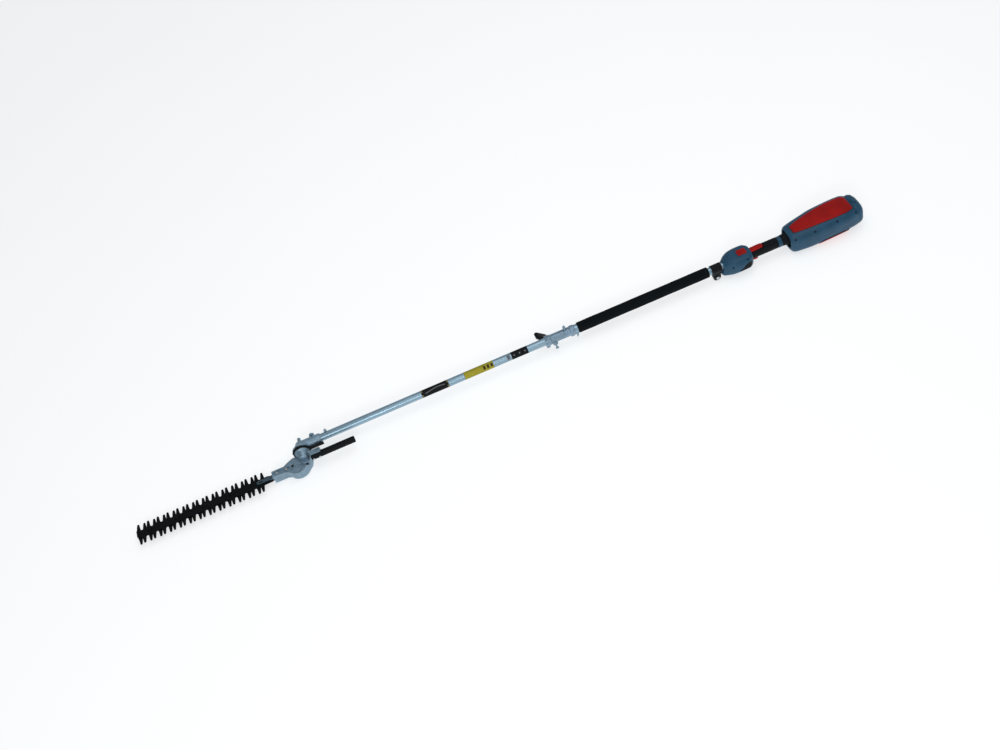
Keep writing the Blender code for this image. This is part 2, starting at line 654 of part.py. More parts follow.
def make_gear_case():
    metal = "cast_aluminium"
    crank = (CRANK_X, HEAD_Y)
    corner = (FOLD_X, HEAD_Y)
    upper = prism("gearcase_upper", "Z", case_outline(), CASE_SPLIT, CASE_TOP, metal)
    neck = [(22.2, 15.5), (NECK_START, 15.5), (NECK_START, 26), (30.5, 26), (35, 21), (42, NECK_R),
            (45.5, 16.5), (53, 14.6), (57, 10)]
    neck = turned("neck", "Y", (FOLD_X, 0), neck, metal, 24)
    boss = turned("crank_boss", "Z", (CRANK_X - 9, HEAD_Y), [(-9, 9), (-4.6, 9), (-3.8, 8)], metal, 16)
    lay_boss = turned("lay_boss", "Z", corner, [(-12, 14.4), (-3.4, 14), (-2.2, 12.8)], metal, 20)
    fuse(upper, neck, boss, lay_boss)
    below = block("below_split", (1990, 10, -60), (2170, 110, CASE_SPLIT), metal)
    bearing_bore = turned("bearing_bore", "Y", (FOLD_X, 0), [(20, 13.2), (33, 13.2), (33, 15.1),
                          (44, 15.1), (44, 12.2), (53.2, 12.2)], metal, 20)
    lay_bore = turned("lay_bore", "Z", corner, [(-30, 11.2), (-4.8, 11.2)], metal, 16)
    crank_bore = turned("crank_bore", "Z", crank, [(-30, 23.6), (-11.8, 23.6)], metal, 20)
    axle_bore = turned("axle_bore", "Z", crank, [(-30, 5.4), (-9, 5.4)], metal, 12)
    recess = prism("nose_recess", "Z", stadium(29, 6.5, (2115, HEAD_Y)), -10.8, 0, metal)
    plug_hole = turned("plug_hole", "Z", (2074, HEAD_Y), [(-10.6, 4.6), (0, 4.6)], metal, 12)
    cut(upper, below, bearing_bore, lay_bore, crank_bore, axle_bore, recess, plug_hole)

    lower = prism("gearcase_lower", "Z", case_outline(), CASE_BOTTOM, CASE_SPLIT - GAP, metal)
    yoke_room = prism("yoke_room", "Z", stadium(33.2, 19.6, crank), -28.6, 0, metal)
    gear_room = turned("gear_room", "Z", crank, [(-20.6, 23.6), (0, 23.6)], metal, 20)
    lay_room = turned("lay_room", "Z", corner, [(-20.6, 11.2), (0, 11.2)], metal, 16)
    foot_bore = turned("foot_bore", "Z", crank, [(-37, 5.4), (0, 5.4)], metal, 12)
    channel = block("blade_channel", (2082, HEAD_Y - 9.6, -30.6), (2160, HEAD_Y + 9.6, 0), metal)
    cut(lower, yoke_room, gear_room, lay_room, foot_bore, channel)

    for number, x in enumerate((2097.5, 2131.5), 1):
        hole = turned(f"bar_hole_{number}", "Z", (x, HEAD_Y), [(-30, 2.8), (0, 2.8)], metal, 8)
        cut(upper, hole)
        bolt = [(-18.0, 2.4), (-10.4, 2.4), (-10.4, 5.2), (-7.4, 5.2), (-6.6, 4.2)]
        turned(f"bar_bolt_{number}", "Z", (x, HEAD_Y), bolt, "bright_steel", 12)
    turned("grease_plug", "Z", (2074, HEAD_Y), [(-10.2, 4.2), (-8.2, 4.2)], "black_plastic", 12)


def make_lever():
    bracket_side = [(41, -15), (44, -15), (44, 7.6), (60, 7.6), (60, 10.6), (41, 10.6)]
    bracket = prism("lever_bracket", "X", bracket_side, 1969, 2006.4, "cast_aluminium")
    axis = (HEAD_Y, -4.3)
    wall = [(1851, 11.2), (2005.4, 11.2), (2005.4, 9), (1851, 9)]
    tube = turned("lever_tube", "X", axis, wall, "black_plastic", 20, hollow=True)
    for number, x in enumerate((1976, 1998), 1):
        hole = turned(f"lever_hole_{number}", "Y", (x, axis[1]), [(39, 2.7), (75, 2.7)], "steel", 8)
        cut(tube, hole)
        cut(bracket, hole)
        bolt = [(39, 2.4), (69.6, 2.4), (69.6, 4.2), (72.6, 4.2)]
        turned(f"lever_bolt_{number}", "Y", (x, axis[1]), bolt, "bright_steel", 12)


# ---- blades -----------------------------------------------------------------------------

def edge_points(side, lead, tip):
    """Teeth along one edge, from the root to the tip."""
    points = []
    for i in range(TEETH - 1, -1, -1):
        middle = tip - lead - TOOTH_PITCH * i
        for offset, reach in TOOTH_SHAPE:
            points.append((middle + offset, HEAD_Y + side * reach))
    return points


def make_blade(name, leading, shift, heights, travel):
    """Both blades are one pressing; the lower one is turned over, so its leading edge is
    the other one. Travel is how far it slides back and forward from rest."""
    tip = BLADE_TIP + shift
    crank = (CRANK_X, HEAD_Y)
    yoke = stadium(25.5, 18.5, crank)
    trailing_edge = edge_points(-leading, 26.0, tip)
    leading_edge = edge_points(leading, 8.5, tip)
    outline = []
    for side, edge in ((-leading, trailing_edge), (leading, leading_edge)):
        start = [(2080, HEAD_Y + side * 8.5), (2152, HEAD_Y + side * 8.5), (2168, HEAD_Y + side * WEB_HALF)]
        half = start + edge
        outline += half if side == -leading else half[::-1]
        if side == -leading:
            outline += [(tip - 1, HEAD_Y + side * 9), (tip, HEAD_Y + leading * 10)]
    blade = prism(name, "Z", outline, *heights, "blade_steel", (CRANK_X, HEAD_Y, heights[0]))
    fuse(blade, prism(name + "_yoke", "Z", yoke, *heights, "blade_steel"))
    cut(blade, prism(name + "_window", "Z", stadium(21, 14, crank), -40, 0, "blade_steel"))
    back, forward = travel
    for i in range(BLADE_BOLTS):
        x = BLADE_TIP - 48.5 - BOLT_SPACING * i
        low = x - forward - BLADE_BOLT_R - 0.6
        high = x + back + BLADE_BOLT_R + 0.6
        slot = stadium((high - low) / 2, BLADE_BOLT_R + 0.4, ((low + high) / 2, HEAD_Y), 3)
        cut(blade, prism(f"{name}_slot_{i}", "Z", slot, -40, 0, "blade_steel"))
    return blade


def make_blades():
    far, near = CRANK_THROW - REST_LEAD, CRANK_THROW + REST_LEAD
    make_blade("blade_upper", -1, 0.0, UPPER_BLADE_Z, (near, far))
    make_blade("blade_lower", 1, -2 * REST_LEAD, LOWER_BLADE_Z, (far, near))
    bar_end = BLADE_TIP - 12
    outline = [(2112, -8.5), (2150, -8.5), (2158, -11), (bar_end - 8, -11), (bar_end, -6), (bar_end, 6),
               (bar_end - 8, 11), (2158, 11), (2150, 8.5), (2112, 8.5)]
    outline = [(x, HEAD_Y + y) for x, y in outline]
    bar = prism("support_bar", "Z", outline, -29.9, -26.9, "blade_steel")
    for i in range(BLADE_BOLTS):
        centre = (BLADE_TIP - 48.5 - BOLT_SPACING * i, HEAD_Y)
        cut(bar, turned(f"bar_slot_{i}", "Z", centre, [(-40, BLADE_BOLT_R + GAP), (-20, BLADE_BOLT_R + GAP)],
                        "steel", 12))
        bolt = [(-33.2, 4.6), (-30.2, 4.8), (-30.2, BLADE_BOLT_R), (-21.4, BLADE_BOLT_R), (-21.4, 4.8),
                (-20.4, 4.4), (-19.8, 2.6)]
        turned(f"blade_bolt_{i + 1}", "Z", centre, bolt, "blade_steel", 12)
    tip = BLADE_TIP - 429
    outline = [(2088, -8.5), (2158, -8.5), (2163, -7.4), (tip - 10, -7), (tip - 3, -5.5), (tip, -2.5),
               (tip, 2.5), (tip - 3, 5.5), (tip - 10, 7), (2163, 7.4), (2158, 8.5), (2088, 8.5)]
    outline = [(x, HEAD_Y + y) for x, y in outline]
    guide = prism("guide_bar", "Z", outline, -21.3, -18.3, "steel")
    cut(guide, prism("guide_slot", "Z", stadium(7, 2.6, (tip - 14, HEAD_Y), 3), -40, 0, "steel"))


def main():
    remove_everything()
    make_rear_housing()
    make_battery()
    make_motor()
    make_handle()
    make_lever_and_trigger()
    make_control_housing()
    make_pole()
    make_hanger()
    make_coupler()
    make_gears()
    make_clamp_case()
    make_index_plate()
    make_gear_case()
    make_lever()
    make_blades()


main()
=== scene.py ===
"""Looks of the pole hedge trimmer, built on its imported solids.

Sizes are in millimetres until a mesh is made. X runs along the pole to the blades, Z is the
side of the lock lever and Y the side of the gear case.
"""
import json
import math

import bmesh
import bpy
import numpy as np
from mathutils import Matrix, Vector

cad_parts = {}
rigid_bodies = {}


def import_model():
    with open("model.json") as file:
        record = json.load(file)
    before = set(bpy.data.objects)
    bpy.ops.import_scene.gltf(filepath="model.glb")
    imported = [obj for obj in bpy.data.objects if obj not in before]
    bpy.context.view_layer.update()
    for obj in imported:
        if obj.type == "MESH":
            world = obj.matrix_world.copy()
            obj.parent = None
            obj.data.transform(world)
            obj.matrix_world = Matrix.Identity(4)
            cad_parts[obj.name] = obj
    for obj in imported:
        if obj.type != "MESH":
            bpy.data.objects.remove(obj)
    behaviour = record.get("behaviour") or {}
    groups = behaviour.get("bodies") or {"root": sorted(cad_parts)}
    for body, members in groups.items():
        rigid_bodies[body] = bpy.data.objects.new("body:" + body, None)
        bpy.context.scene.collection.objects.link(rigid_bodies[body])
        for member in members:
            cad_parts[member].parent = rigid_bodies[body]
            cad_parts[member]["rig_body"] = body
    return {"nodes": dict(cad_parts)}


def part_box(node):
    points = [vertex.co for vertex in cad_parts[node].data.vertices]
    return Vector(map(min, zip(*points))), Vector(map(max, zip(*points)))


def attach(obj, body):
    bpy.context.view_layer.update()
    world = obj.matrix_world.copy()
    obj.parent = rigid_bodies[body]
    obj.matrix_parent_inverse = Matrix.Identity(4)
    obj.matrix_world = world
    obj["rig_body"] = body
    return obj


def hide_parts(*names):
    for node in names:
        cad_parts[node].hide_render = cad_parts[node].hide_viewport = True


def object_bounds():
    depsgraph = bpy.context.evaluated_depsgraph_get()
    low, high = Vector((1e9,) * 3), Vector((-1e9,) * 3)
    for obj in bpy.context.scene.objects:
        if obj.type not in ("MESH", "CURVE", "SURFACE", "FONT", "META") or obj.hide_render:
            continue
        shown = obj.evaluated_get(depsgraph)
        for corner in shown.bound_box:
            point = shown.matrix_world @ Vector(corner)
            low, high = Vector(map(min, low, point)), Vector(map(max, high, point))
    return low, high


bl_info = {
    "name": "Pole hedge trimmer",
    "version": (1, 0, 0),
    "blender": (4, 5, 0),
    "location": "View3D > Sidebar > Trimmer",
    "description": "Housings, pole, labels, folding head and blades of a pole hedge trimmer",
    "category": "Object",
}

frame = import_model()
cad_low, cad_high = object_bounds()

MM = 0.001
SHAPE = 3.4              # how square the housings' sections are: 2 is an ellipse
REAR_WALL = 2.7
CONTROL_WALL = 2.2
SPLIT_GAP = 0.2          # how far each half stays from the split between them
TUBE_R = 13.0
TUBE_BORE_R = 11.5
FOAM_BORE_R = 13.3
FOAM_EDGE_R = 14.4       # where the foam's round ends start
HEAD_Y = 58.0            # how far the cutter stands beside the pole
CASE_TOP_Z = -7.3        # upper face of the gear case
LABEL_TURN = math.radians(48.0)      # the labels' middle, round the tube from +Y to +Z
PIECE_CREASE = math.radians(38.0)    # edges of new pieces sharper than this stay sharp
SKIN_CREASE = math.radians(32.0)     # the same for skins of CAD nodes, whose edges are rounded
FINE_EDGE = 0.0004       # edge rounding of small hard pieces, in metres
STAGE_MIDDLE = 1.3       # middle of the floor and where the lamps point, metres along the pole

# Sections of the two housings: distance along the pole, half width, top, bottom and how far
# the section leans along the pole for each millimetre of height.
REAR_SECTIONS = np.array([
    (19.6, 51, 44, -30, 0.28), (45, 56.5, 49.5, -34, 0.1), (75, 58, 49.5, -36, 0),
    (110, 58, 48, -38, 0), (155, 57, 45, -41, 0), (190, 53.5, 40, -45.5, 0),
    (206, 51.5, 37.5, -46.5, 0), (243, 46, 31.5, -46.5, 0), (257, 42, 28.5, -42.5, 0),
    (260.5, 38.5, 27, -38.5, 0), (264, 33, 25.6, -31.5, 0),
])
CONTROL_SECTIONS = np.array([
    (398, 27, 25.6, -28.2, 0), (402, 31.5, 27, -29.4, 0), (406, 35, 27.8, -29.8, 0),
    (414, 40, 28.5, -30.5, 0), (439, 41, 28.5, -31.5, 0), (464, 38, 27.5, -34, 0),
    (482, 30.5, 24, -36.5, 0), (492, 24.5, 20, -36, -0.1), (495, 22, 18.4, -34.5, -0.2),
    (500, 17.5, 16.4, -30, -0.2),
])
BUTTON = (428.0, 16.0, 13.0)      # middle along the pole, half length and half width


# ---- what a user would change -----------------------------------------------------------

def colour_setting(name, words, colour):
    return bpy.props.FloatVectorProperty(name=name, description=words, default=colour, size=3,
                                         subtype="COLOR", min=0.0, max=1.0)


def length_setting(name, words, default, **limits):
    return bpy.props.FloatProperty(name=name, description=words, default=default, subtype="DISTANCE",
                                   unit="LENGTH", **limits)


def angle_setting(name, words, degrees):
    return bpy.props.FloatProperty(name=name, description=words, default=math.radians(degrees),
                                   subtype="ANGLE")


def strength_setting(name, words, default):
    return bpy.props.FloatProperty(name=name, description=words, default=default, min=0.0)


class TrimmerPlastics(bpy.types.PropertyGroup):
    """Colours and surface of the moulded pieces."""
    blue: colour_setting("Housing blue", "Colour of both housings and the battery", (0.013, 0.072, 0.135))
    red: colour_setting("Trim red", "Colour of the pads, lever, trigger and button", (0.360, 0.0050, 0.0035))
    black: colour_setting("Rubber black", "Colour of the grip, boot and knob", (0.0032, 0.0050, 0.0068))
    grain: length_setting("Grain depth", "Depth of the moulded grain", 0.00008, min=0.0)
    pad_height: length_setting("Pad height", "How far the red pads stand out", 0.0021, min=0.0008, max=0.0024)


class TrimmerPole(bpy.types.PropertyGroup):
    """Pole, foam grip and labels."""
    metal: colour_setting("Tube metal", "Colour of the bare tube", (0.300, 0.430, 0.520))
    foam: colour_setting("Foam", "Colour of the foam grip", (0.0042, 0.0070, 0.0088))
    foam_radius: length_setting("Foam radius", "Outside of the foam grip", 0.0183, min=0.017, max=0.0186)
    yellow: colour_setting("Label yellow", "Colour of the long label", (0.450, 0.390, 0.035))


class TrimmerHead(bpy.types.PropertyGroup):
    """Cast head and blades."""
    casting: colour_setting("Casting", "Colour of the cast pieces", (0.260, 0.370, 0.460))
    blade: colour_setting("Blade", "Colour of the blackened blades", (0.0022, 0.0036, 0.0045))
    edge_round: length_setting("Edge rounding", "Width of the castings' rounded edges", 0.0007,
                               min=0.0001, max=0.001)


class TrimmerStage(bpy.types.PropertyGroup):
    """Camera, floor and light."""
    distance: length_setting("Camera distance", "From the pole to the camera", 3.5, min=1.0)
    elevation: angle_setting("Elevation", "Height of the view above the horizon", 50.5)
    swing: angle_setting("Swing", "How far the camera stands towards the blades", 1.1)
    roll: angle_setting("Roll", "How far the pole slopes in the view", 23.17)
    aim: length_setting("Aim", "Point along the pole that the camera faces", 1.3273)
    drop: length_setting("Drop", "How far below the pole the camera aims", 0.043)
    lens: bpy.props.FloatProperty(name="Lens", description="Focal length in millimetres",
                                  default=37.76, min=10.0, subtype="DISTANCE_CAMERA")
    floor: colour_setting("Floor", "Colour of the floor", (0.55, 0.56, 0.57))
    floor_glow: strength_setting("Floor glow", "How far the floor lights itself", 0.62)
    light: strength_setting("Light", "Strength of the sky and the lamps", 1.0)


# ---- surfaces ---------------------------------------------------------------------------

def eased(x, knots, values):
    """Values at x on a smooth curve through (knots, values), the knots rising: on each stretch a
    cubic whose slopes are limited so that it never overshoots its two ends."""
    knots, values = np.asarray(knots, float), np.asarray(values, float)
    step = np.diff(knots)
    rise = np.diff(values) / step
    same_way = rise[:-1] * rise[1:] > 0
    inner = np.where(same_way, 2 * rise[:-1] * rise[1:] / np.where(same_way, rise[:-1] + rise[1:], 1), 0)
    slope = np.concatenate([[rise[0]], inner, [rise[-1]]])
    i = np.clip(np.searchsorted(knots, x) - 1, 0, len(step) - 1)
    s = np.clip((x - knots[i]) / step[i], 0, 1)
    return ((2 * s**3 - 3 * s**2 + 1) * values[i] + (s**3 - 2 * s**2 + s) * step[i] * slope[i]
            + (3 * s**2 - 2 * s**3) * values[i + 1] + (s**3 - s**2) * step[i] * slope[i + 1])


def oval(t, half_width, top, bottom):
    """Superellipse |y/a|^n + |z/b|^n = 1 at t radians from its top towards +Y."""
    s, c = np.sin(t), np.cos(t)
    y = half_width * np.sign(s) * np.abs(s) ** (2 / SHAPE)
    z = (top + bottom) / 2 + (top - bottom) / 2 * np.sign(c) * np.abs(c) ** (2 / SHAPE)
    return y, z


def around(x, t, sections, inset=0.0):
    """Points of a body whose section at x is an oval, inset by that many millimetres. Shapes
    of x, t and inset broadcast together."""
    x, t, inset = np.broadcast_arrays(x, t, inset)
    half, top, bottom, lean = (eased(x, sections[:, 0], sections[:, k]) for k in range(1, 5))
    y, z = oval(t, half - inset, top - inset, bottom + inset)
    return np.stack([x + lean * z, y, z], axis=-1)


def graded(stretches):
    """Numbers over stretches of (start, end, count), without a repeat where two meet."""
    parts = [np.linspace(a, b, n, endpoint=False) for a, b, n in stretches]
    return np.concatenate(parts + [[stretches[-1][1]]])


def new_piece(name, points, faces, body, slot, *stands_for, finish=None):
    """A piece from an array of points in millimetres and lists of faces, facing out. Its finish is
    the slot's, unless it has its own."""
    mesh = bpy.data.meshes.new(name)
    mesh.from_pydata((np.asarray(points, float).reshape(-1, 3) * MM).tolist(), [], faces)
    shape = bmesh.new()
    shape.from_mesh(mesh)
    if shape.calc_volume(signed=True) < 0:
        bmesh.ops.reverse_faces(shape, faces=shape.faces)
    shape.to_mesh(mesh)
    shape.free()
    mesh.shade_smooth()
    mesh.set_sharp_from_angle(angle=PIECE_CREASE)
    mesh.materials.append(finish or FINISHES[slot])
    piece = bpy.data.objects.new(name, mesh)
    bpy.context.scene.collection.objects.link(piece)
    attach(piece, body)
    if stands_for:
        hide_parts(*stands_for)
    return piece


def grid_faces(rows, columns, loop):
    """Quads between the rows of a grid whose columns go all the way round. With loop the last
    row joins the first."""
    index = np.arange(rows * columns).reshape(rows, columns)
    low = index if loop else index[:-1]
    high = np.roll(index, -1, axis=0) if loop else index[1:]
    quads = np.stack([low, np.roll(low, -1, 1), np.roll(high, -1, 1), high], axis=-1)
    return quads.reshape(-1, 4).tolist()


def carried(name, rings, body, slot, *stands_for, finish=None, loop=False):
    """A closed body through an array of rings (rows, columns, 3). Without loop, each end is
    closed by a fan to its middle."""
    rows, columns = rings.shape[:2]
    faces = grid_faces(rows, columns, loop)
    points = rings.reshape(-1, 3)
    if not loop:
        ends = np.stack([rings[0].mean(0), rings[-1].mean(0)])
        points = np.concatenate([points, ends])
        for end, start in enumerate((0, (rows - 1) * columns)):
            ring = start + np.arange(columns)
            middle = np.full(columns, rows * columns + end)
            fan = [ring, np.roll(ring, -1), middle] if end else [np.roll(ring, -1), ring, middle]
            faces += np.stack(fan, axis=-1).tolist()
    return new_piece(name, points, faces, body, slot, *stands_for, finish=finish)


def circle(sides):
    """Angles once round, the first not repeated."""
    return np.linspace(0, math.tau, sides, endpoint=False)


def turned(axis, centre, profile, sides):
    """Rings of a body turned about an axis through centre: at each (distance along, radius) of
    the profile, a circle."""
    profile = np.asarray(profile, float)
    a = circle(sides)
    along = np.repeat(profile[:, :1], sides, axis=1)
    u = centre[0] + profile[:, 1:] * np.cos(a)
    v = centre[1] + profile[:, 1:] * np.sin(a)
    order = {"X": (along, u, v), "Y": (u, along, v), "Z": (u, v, along)}[axis]
    return np.stack(order, axis=-1)


def rounded(profile, radius, steps=4):
    """The profile with each corner replaced by a quadratic curve that starts and ends radius
    away from it."""
    profile = np.asarray(profile, float)
    made = [profile[0]]
    for before, corner, after in zip(profile, profile[1:], profile[2:]):
        reach_in = min(radius, np.linalg.norm(before - corner) / 2)
        reach_out = min(radius, np.linalg.norm(after - corner) / 2)
        start = corner + (before - corner) / np.linalg.norm(before - corner) * reach_in
        end = corner + (after - corner) / np.linalg.norm(after - corner) * reach_out
        s = np.linspace(0, 1, steps)[:, None]
        made.extend((1 - s) ** 2 * start + 2 * s * (1 - s) * corner + s**2 * end)
    made.append(profile[-1])
    return np.array(made)


def smoothed(node, slot, width=FINE_EDGE, finish=None):
    """A CAD node's own shape, its loose triangles merged into one smooth skin with edges rounded
    over a width in metres, standing for the node. Its finish is the slot's, unless it has its own."""
    source = frame["nodes"][node]
    mesh = source.data.copy()
    mesh.name = node + "_skin"
    if mesh.attributes.get("custom_normal"):
        mesh.attributes.remove(mesh.attributes["custom_normal"])
    shape = bmesh.new()
    shape.from_mesh(mesh)
    bmesh.ops.remove_doubles(shape, verts=shape.verts, dist=2e-6)
    bmesh.ops.dissolve_limit(shape, angle_limit=math.radians(0.4), verts=shape.verts, edges=shape.edges)
    bmesh.ops.recalc_face_normals(shape, faces=shape.faces)
    shape.to_mesh(mesh)
    shape.free()
    mesh.shade_smooth()
    mesh.set_sharp_from_angle(angle=SKIN_CREASE)
    mesh.materials.clear()
    mesh.materials.append(FINISHES[finish or slot])
    piece = bpy.data.objects.new(node + "_skin", mesh)
    bpy.context.scene.collection.objects.link(piece)
    edge = piece.modifiers.new("rounded edges", "BEVEL")
    edge.width = width
    edge.segments = 2
    edge.limit_method = "ANGLE"
    edge.angle_limit = SKIN_CREASE
    edge.use_clamp_overlap = True
    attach(piece, source["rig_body"])
    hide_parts(node)


# ---- finishes ---------------------------------------------------------------------------

class Value:
    """A number on its way through a material. Arithmetic on it adds Math nodes."""

    def __init__(self, finish, socket):
        self.finish = finish
        self.socket = socket

    def _with(self, operation, *others):
        made = self.finish.node("ShaderNodeMath", {"operation": operation}, dict(enumerate(others)))
        return Value(self.finish, made.outputs[0])

    def __add__(self, other):
        return self._with("ADD", self, other)

    def __radd__(self, other):
        return self._with("ADD", other, self)

    def __sub__(self, other):
        return self._with("SUBTRACT", self, other)

    def __rsub__(self, other):
        return self._with("SUBTRACT", other, self)

    def __mul__(self, other):
        return self._with("MULTIPLY", self, other)

    def __rmul__(self, other):
        return self._with("MULTIPLY", other, self)

    def __truediv__(self, other):
        return self._with("DIVIDE", self, other)

    def __abs__(self):
        return self._with("ABSOLUTE", self)

    def __gt__(self, other):
        return self._with("GREATER_THAN", self, other)

    def __lt__(self, other):
        return self._with("LESS_THAN", self, other)

    def sine(self):
        return self._with("SINE", self)

    def wrapped(self):
        return self._with("FRACT", self)

    def at_least(self, other):
        return self._with("MAXIMUM", self, other)


class Finish:
    """A node material for one of the trimmer's surfaces."""

    def __init__(self, name, colour, roughness, metallic=0.0, specular=0.5):
        self.material = bpy.data.materials.new(name)
        self.material.use_nodes = True
        self.tree = self.material.node_tree
        self.shader = self.tree.nodes["Principled BSDF"]
        self.colour = (*colour, 1.0)
        self.put(self.shader.inputs["Base Color"], self.colour)
        self.put(self.shader.inputs["Roughness"], roughness)
        self.put(self.shader.inputs["Metallic"], metallic)
        self.put(self.shader.inputs["Specular IOR Level"], specular)
        self.place = self.node("ShaderNodeTexCoord").outputs["Object"]

    def put(self, socket, value):
        if isinstance(value, Value):
            value = value.socket
        if isinstance(value, bpy.types.NodeSocket):
            self.tree.links.new(value, socket)
        else:
            socket.default_value = value

    def node(self, kind, settings=None, inputs=None):
        """Adds a node: its settings first, then the values or links of its sockets."""
        made = self.tree.nodes.new(kind)
        for key, value in (settings or {}).items():
            setattr(made, key, value)
        for key, value in (inputs or {}).items():
            self.put(made.inputs[key], value)
        return made

    def axes(self):
        parts = self.node("ShaderNodeSeparateXYZ", None, {0: self.place}).outputs
        return [Value(self, part) for part in parts]

    def noise(self, scale, detail=3.0, rough=0.5, stretch=None):
        """Noise of about scale cells a metre, finer along an axis whose stretch is larger."""
        place = self.place
        if stretch:
            place = self.node("ShaderNodeMapping", None, {"Vector": place, "Scale": stretch}).outputs[0]
        made = self.node("ShaderNodeTexNoise", None,
                         {"Vector": place, "Scale": scale, "Detail": detail, "Roughness": rough})
        return Value(self, made.outputs[0])

    def cells(self, scale):
        """How far a point is from the nearest of scattered points, scale of them to a metre."""
        made = self.node("ShaderNodeTexVoronoi", {"feature": "F1"}, {"Vector": self.place, "Scale": scale})
        return Value(self, made.outputs[0])

    def between(self, value, low, high, out_low=0.0, out_high=1.0):
        """Goes smoothly from out_low to out_high while the value goes from low to high."""
        made = self.node("ShaderNodeMapRange", {"clamp": True, "interpolation_type": "SMOOTHSTEP"},
                         {"Value": value, "From Min": low, "From Max": high, "To Min": out_low,
                          "To Max": out_high})
        return Value(self, made.outputs[0])

    def mix(self, share, first, second):
        """Colour between two, each a colour or a socket."""
        made = self.node("ShaderNodeMix", {"data_type": "RGBA"}, {0: share})
        self.put(made.inputs[6], first)
        self.put(made.inputs[7], second)
        return made.outputs[2]

    def shade(self, factor):
        """The finish's own colour, made lighter or darker by a factor."""
        return (*[min(1.0, c * factor) for c in self.colour[:3]], 1.0)

    def surface(self, colour, roughness=None, height=None, depth=0.0001):
        """Links what varies over the surface, the height through a Bump node. Depth is in metres."""
        self.put(self.shader.inputs["Base Color"], colour)
        if roughness is not None:
            self.put(self.shader.inputs["Roughness"], roughness)
        if height is not None:
            bump = self.node("ShaderNodeBump", None, {"Height": height, "Strength": 1.0, "Distance": depth})
            self.put(self.shader.inputs["Normal"], bump.outputs[0])
        return self.material


def moulded(name, colour, roughness, grain, specular=0.3):
    """Injection-moulded plastic: fine spark grain, soft sheen changes and a few pale scuffs."""
    finish = Finish(name, colour, roughness, specular=specular)
    spark = finish.cells(1500.0)
    cloud = finish.noise(22.0, 4.0, 0.6)
    scuff = finish.between(finish.noise(60.0, 6.0, 0.7, (1.0, 3.0, 3.0)), 0.64, 0.74)
    base = finish.mix(finish.between(cloud, 0.3, 0.7), finish.shade(0.86), finish.shade(1.14))
    worn = finish.mix(scuff * 0.16, base, finish.shade(2.2))
    return finish.surface(worn, finish.between(cloud, 0.3, 0.7, roughness - 0.05, roughness + 0.07),
                          spark + 0.3 * finish.noise(700.0, 2.0), grain)


def ribbed_rubber(name, colour, pitch, ridge):
    """Soft rubber with shallow ribs across the pole: a sine of the distance along it."""
    finish = Finish(name, colour, 0.62, specular=0.15)
    x = finish.axes()[0]
    rib = (x * (math.tau / pitch)).sine()
    dust = finish.noise(90.0, 5.0, 0.65)
    base = finish.mix(finish.between(dust, 0.35, 0.75), finish.shade(0.8), finish.shade(1.5))
    return finish.surface(base, finish.between(dust, 0.3, 0.7, 0.55, 0.72),
                          rib * ridge + finish.noise(1600.0, 2.0) * 0.25, 0.0003)


def soft_foam(name, colour):
    """Closed-cell foam: small open cells, darkened in their pits by painted shade, and slow changes of tone
    where it was handled.
    """
    finish = Finish(name, colour, 0.92, specular=0.1)
    cell = finish.cells(900.0)
    finer = finish.cells(2100.0)
    rub = finish.noise(9.0, 4.0, 0.6, (0.6, 1.0, 1.0))
    base = finish.mix(finish.between(rub, 0.35, 0.7), finish.shade(0.75), finish.shade(1.45))
    # painted shade: the colour is darkened in the cell pits that the bump carves
    pit_shade = finish.mix(finish.between(cell, 0.0, 0.5), finish.shade(0.5), base)
    return finish.surface(pit_shade, finish.between(rub, 0.3, 0.7, 0.85, 0.97), cell + 0.5 * finer, 0.00022)


def drawn_tube(name, colour):
    """Drawn and anodised tube: hair lines along it and faint rings where it was handled."""
    finish = Finish(name, colour, 0.4, metallic=0.9)
    lines = finish.noise(420.0, 3.0, 0.6, (0.012, 1.0, 1.0))
    smear = finish.noise(16.0, 4.0, 0.6, (0.35, 1.0, 1.0))
    base = finish.mix(finish.between(lines, 0.35, 0.65), finish.shade(0.9), finish.shade(1.08))
    marked = finish.mix(finish.between(smear, 0.62, 0.8) * 0.35, base, finish.shade(0.72))
    rough = finish.between(lines, 0.3, 0.7, 0.32, 0.42) + finish.between(smear, 0.4, 0.8, 0.0, 0.12)
    return finish.surface(marked, rough, lines, 0.00003)


def cast_metal(name, colour, roughness=0.46, grain=0.00016):
    """Die-cast and blasted metal: fine pits, a cloudy tone, darker where dirt stays."""
    finish = Finish(name, colour, roughness, metallic=0.85)
    pits = finish.cells(1100.0)
    cloud = finish.noise(38.0, 5.0, 0.6)
    fine = finish.noise(650.0, 4.0, 0.7)
    base = finish.mix(finish.between(cloud, 0.3, 0.72), finish.shade(0.78), finish.shade(1.18))
    dirty = finish.mix(finish.between(fine, 0.56, 0.72) * 0.35, base, finish.shade(0.5))
    return finish.surface(dirty, finish.between(cloud, 0.3, 0.7, roughness - 0.07, roughness + 0.1),
                          pits + fine, grain)


def turned_metal(name, colour, roughness, lay=(1.0, 0.05, 0.05)):
    """Turned or rolled metal: fine scratches one way, and slight tarnish."""
    finish = Finish(name, colour, roughness, metallic=1.0)
    lines = finish.noise(900.0, 2.0, 0.5, lay)
    tarnish = finish.noise(70.0, 4.0, 0.6)
    base = finish.mix(finish.between(tarnish, 0.4, 0.75), finish.shade(1.0), finish.shade(0.74))
    return finish.surface(base, finish.between(lines, 0.3, 0.7, roughness - 0.06, roughness + 0.08), lines,
                          0.00003)


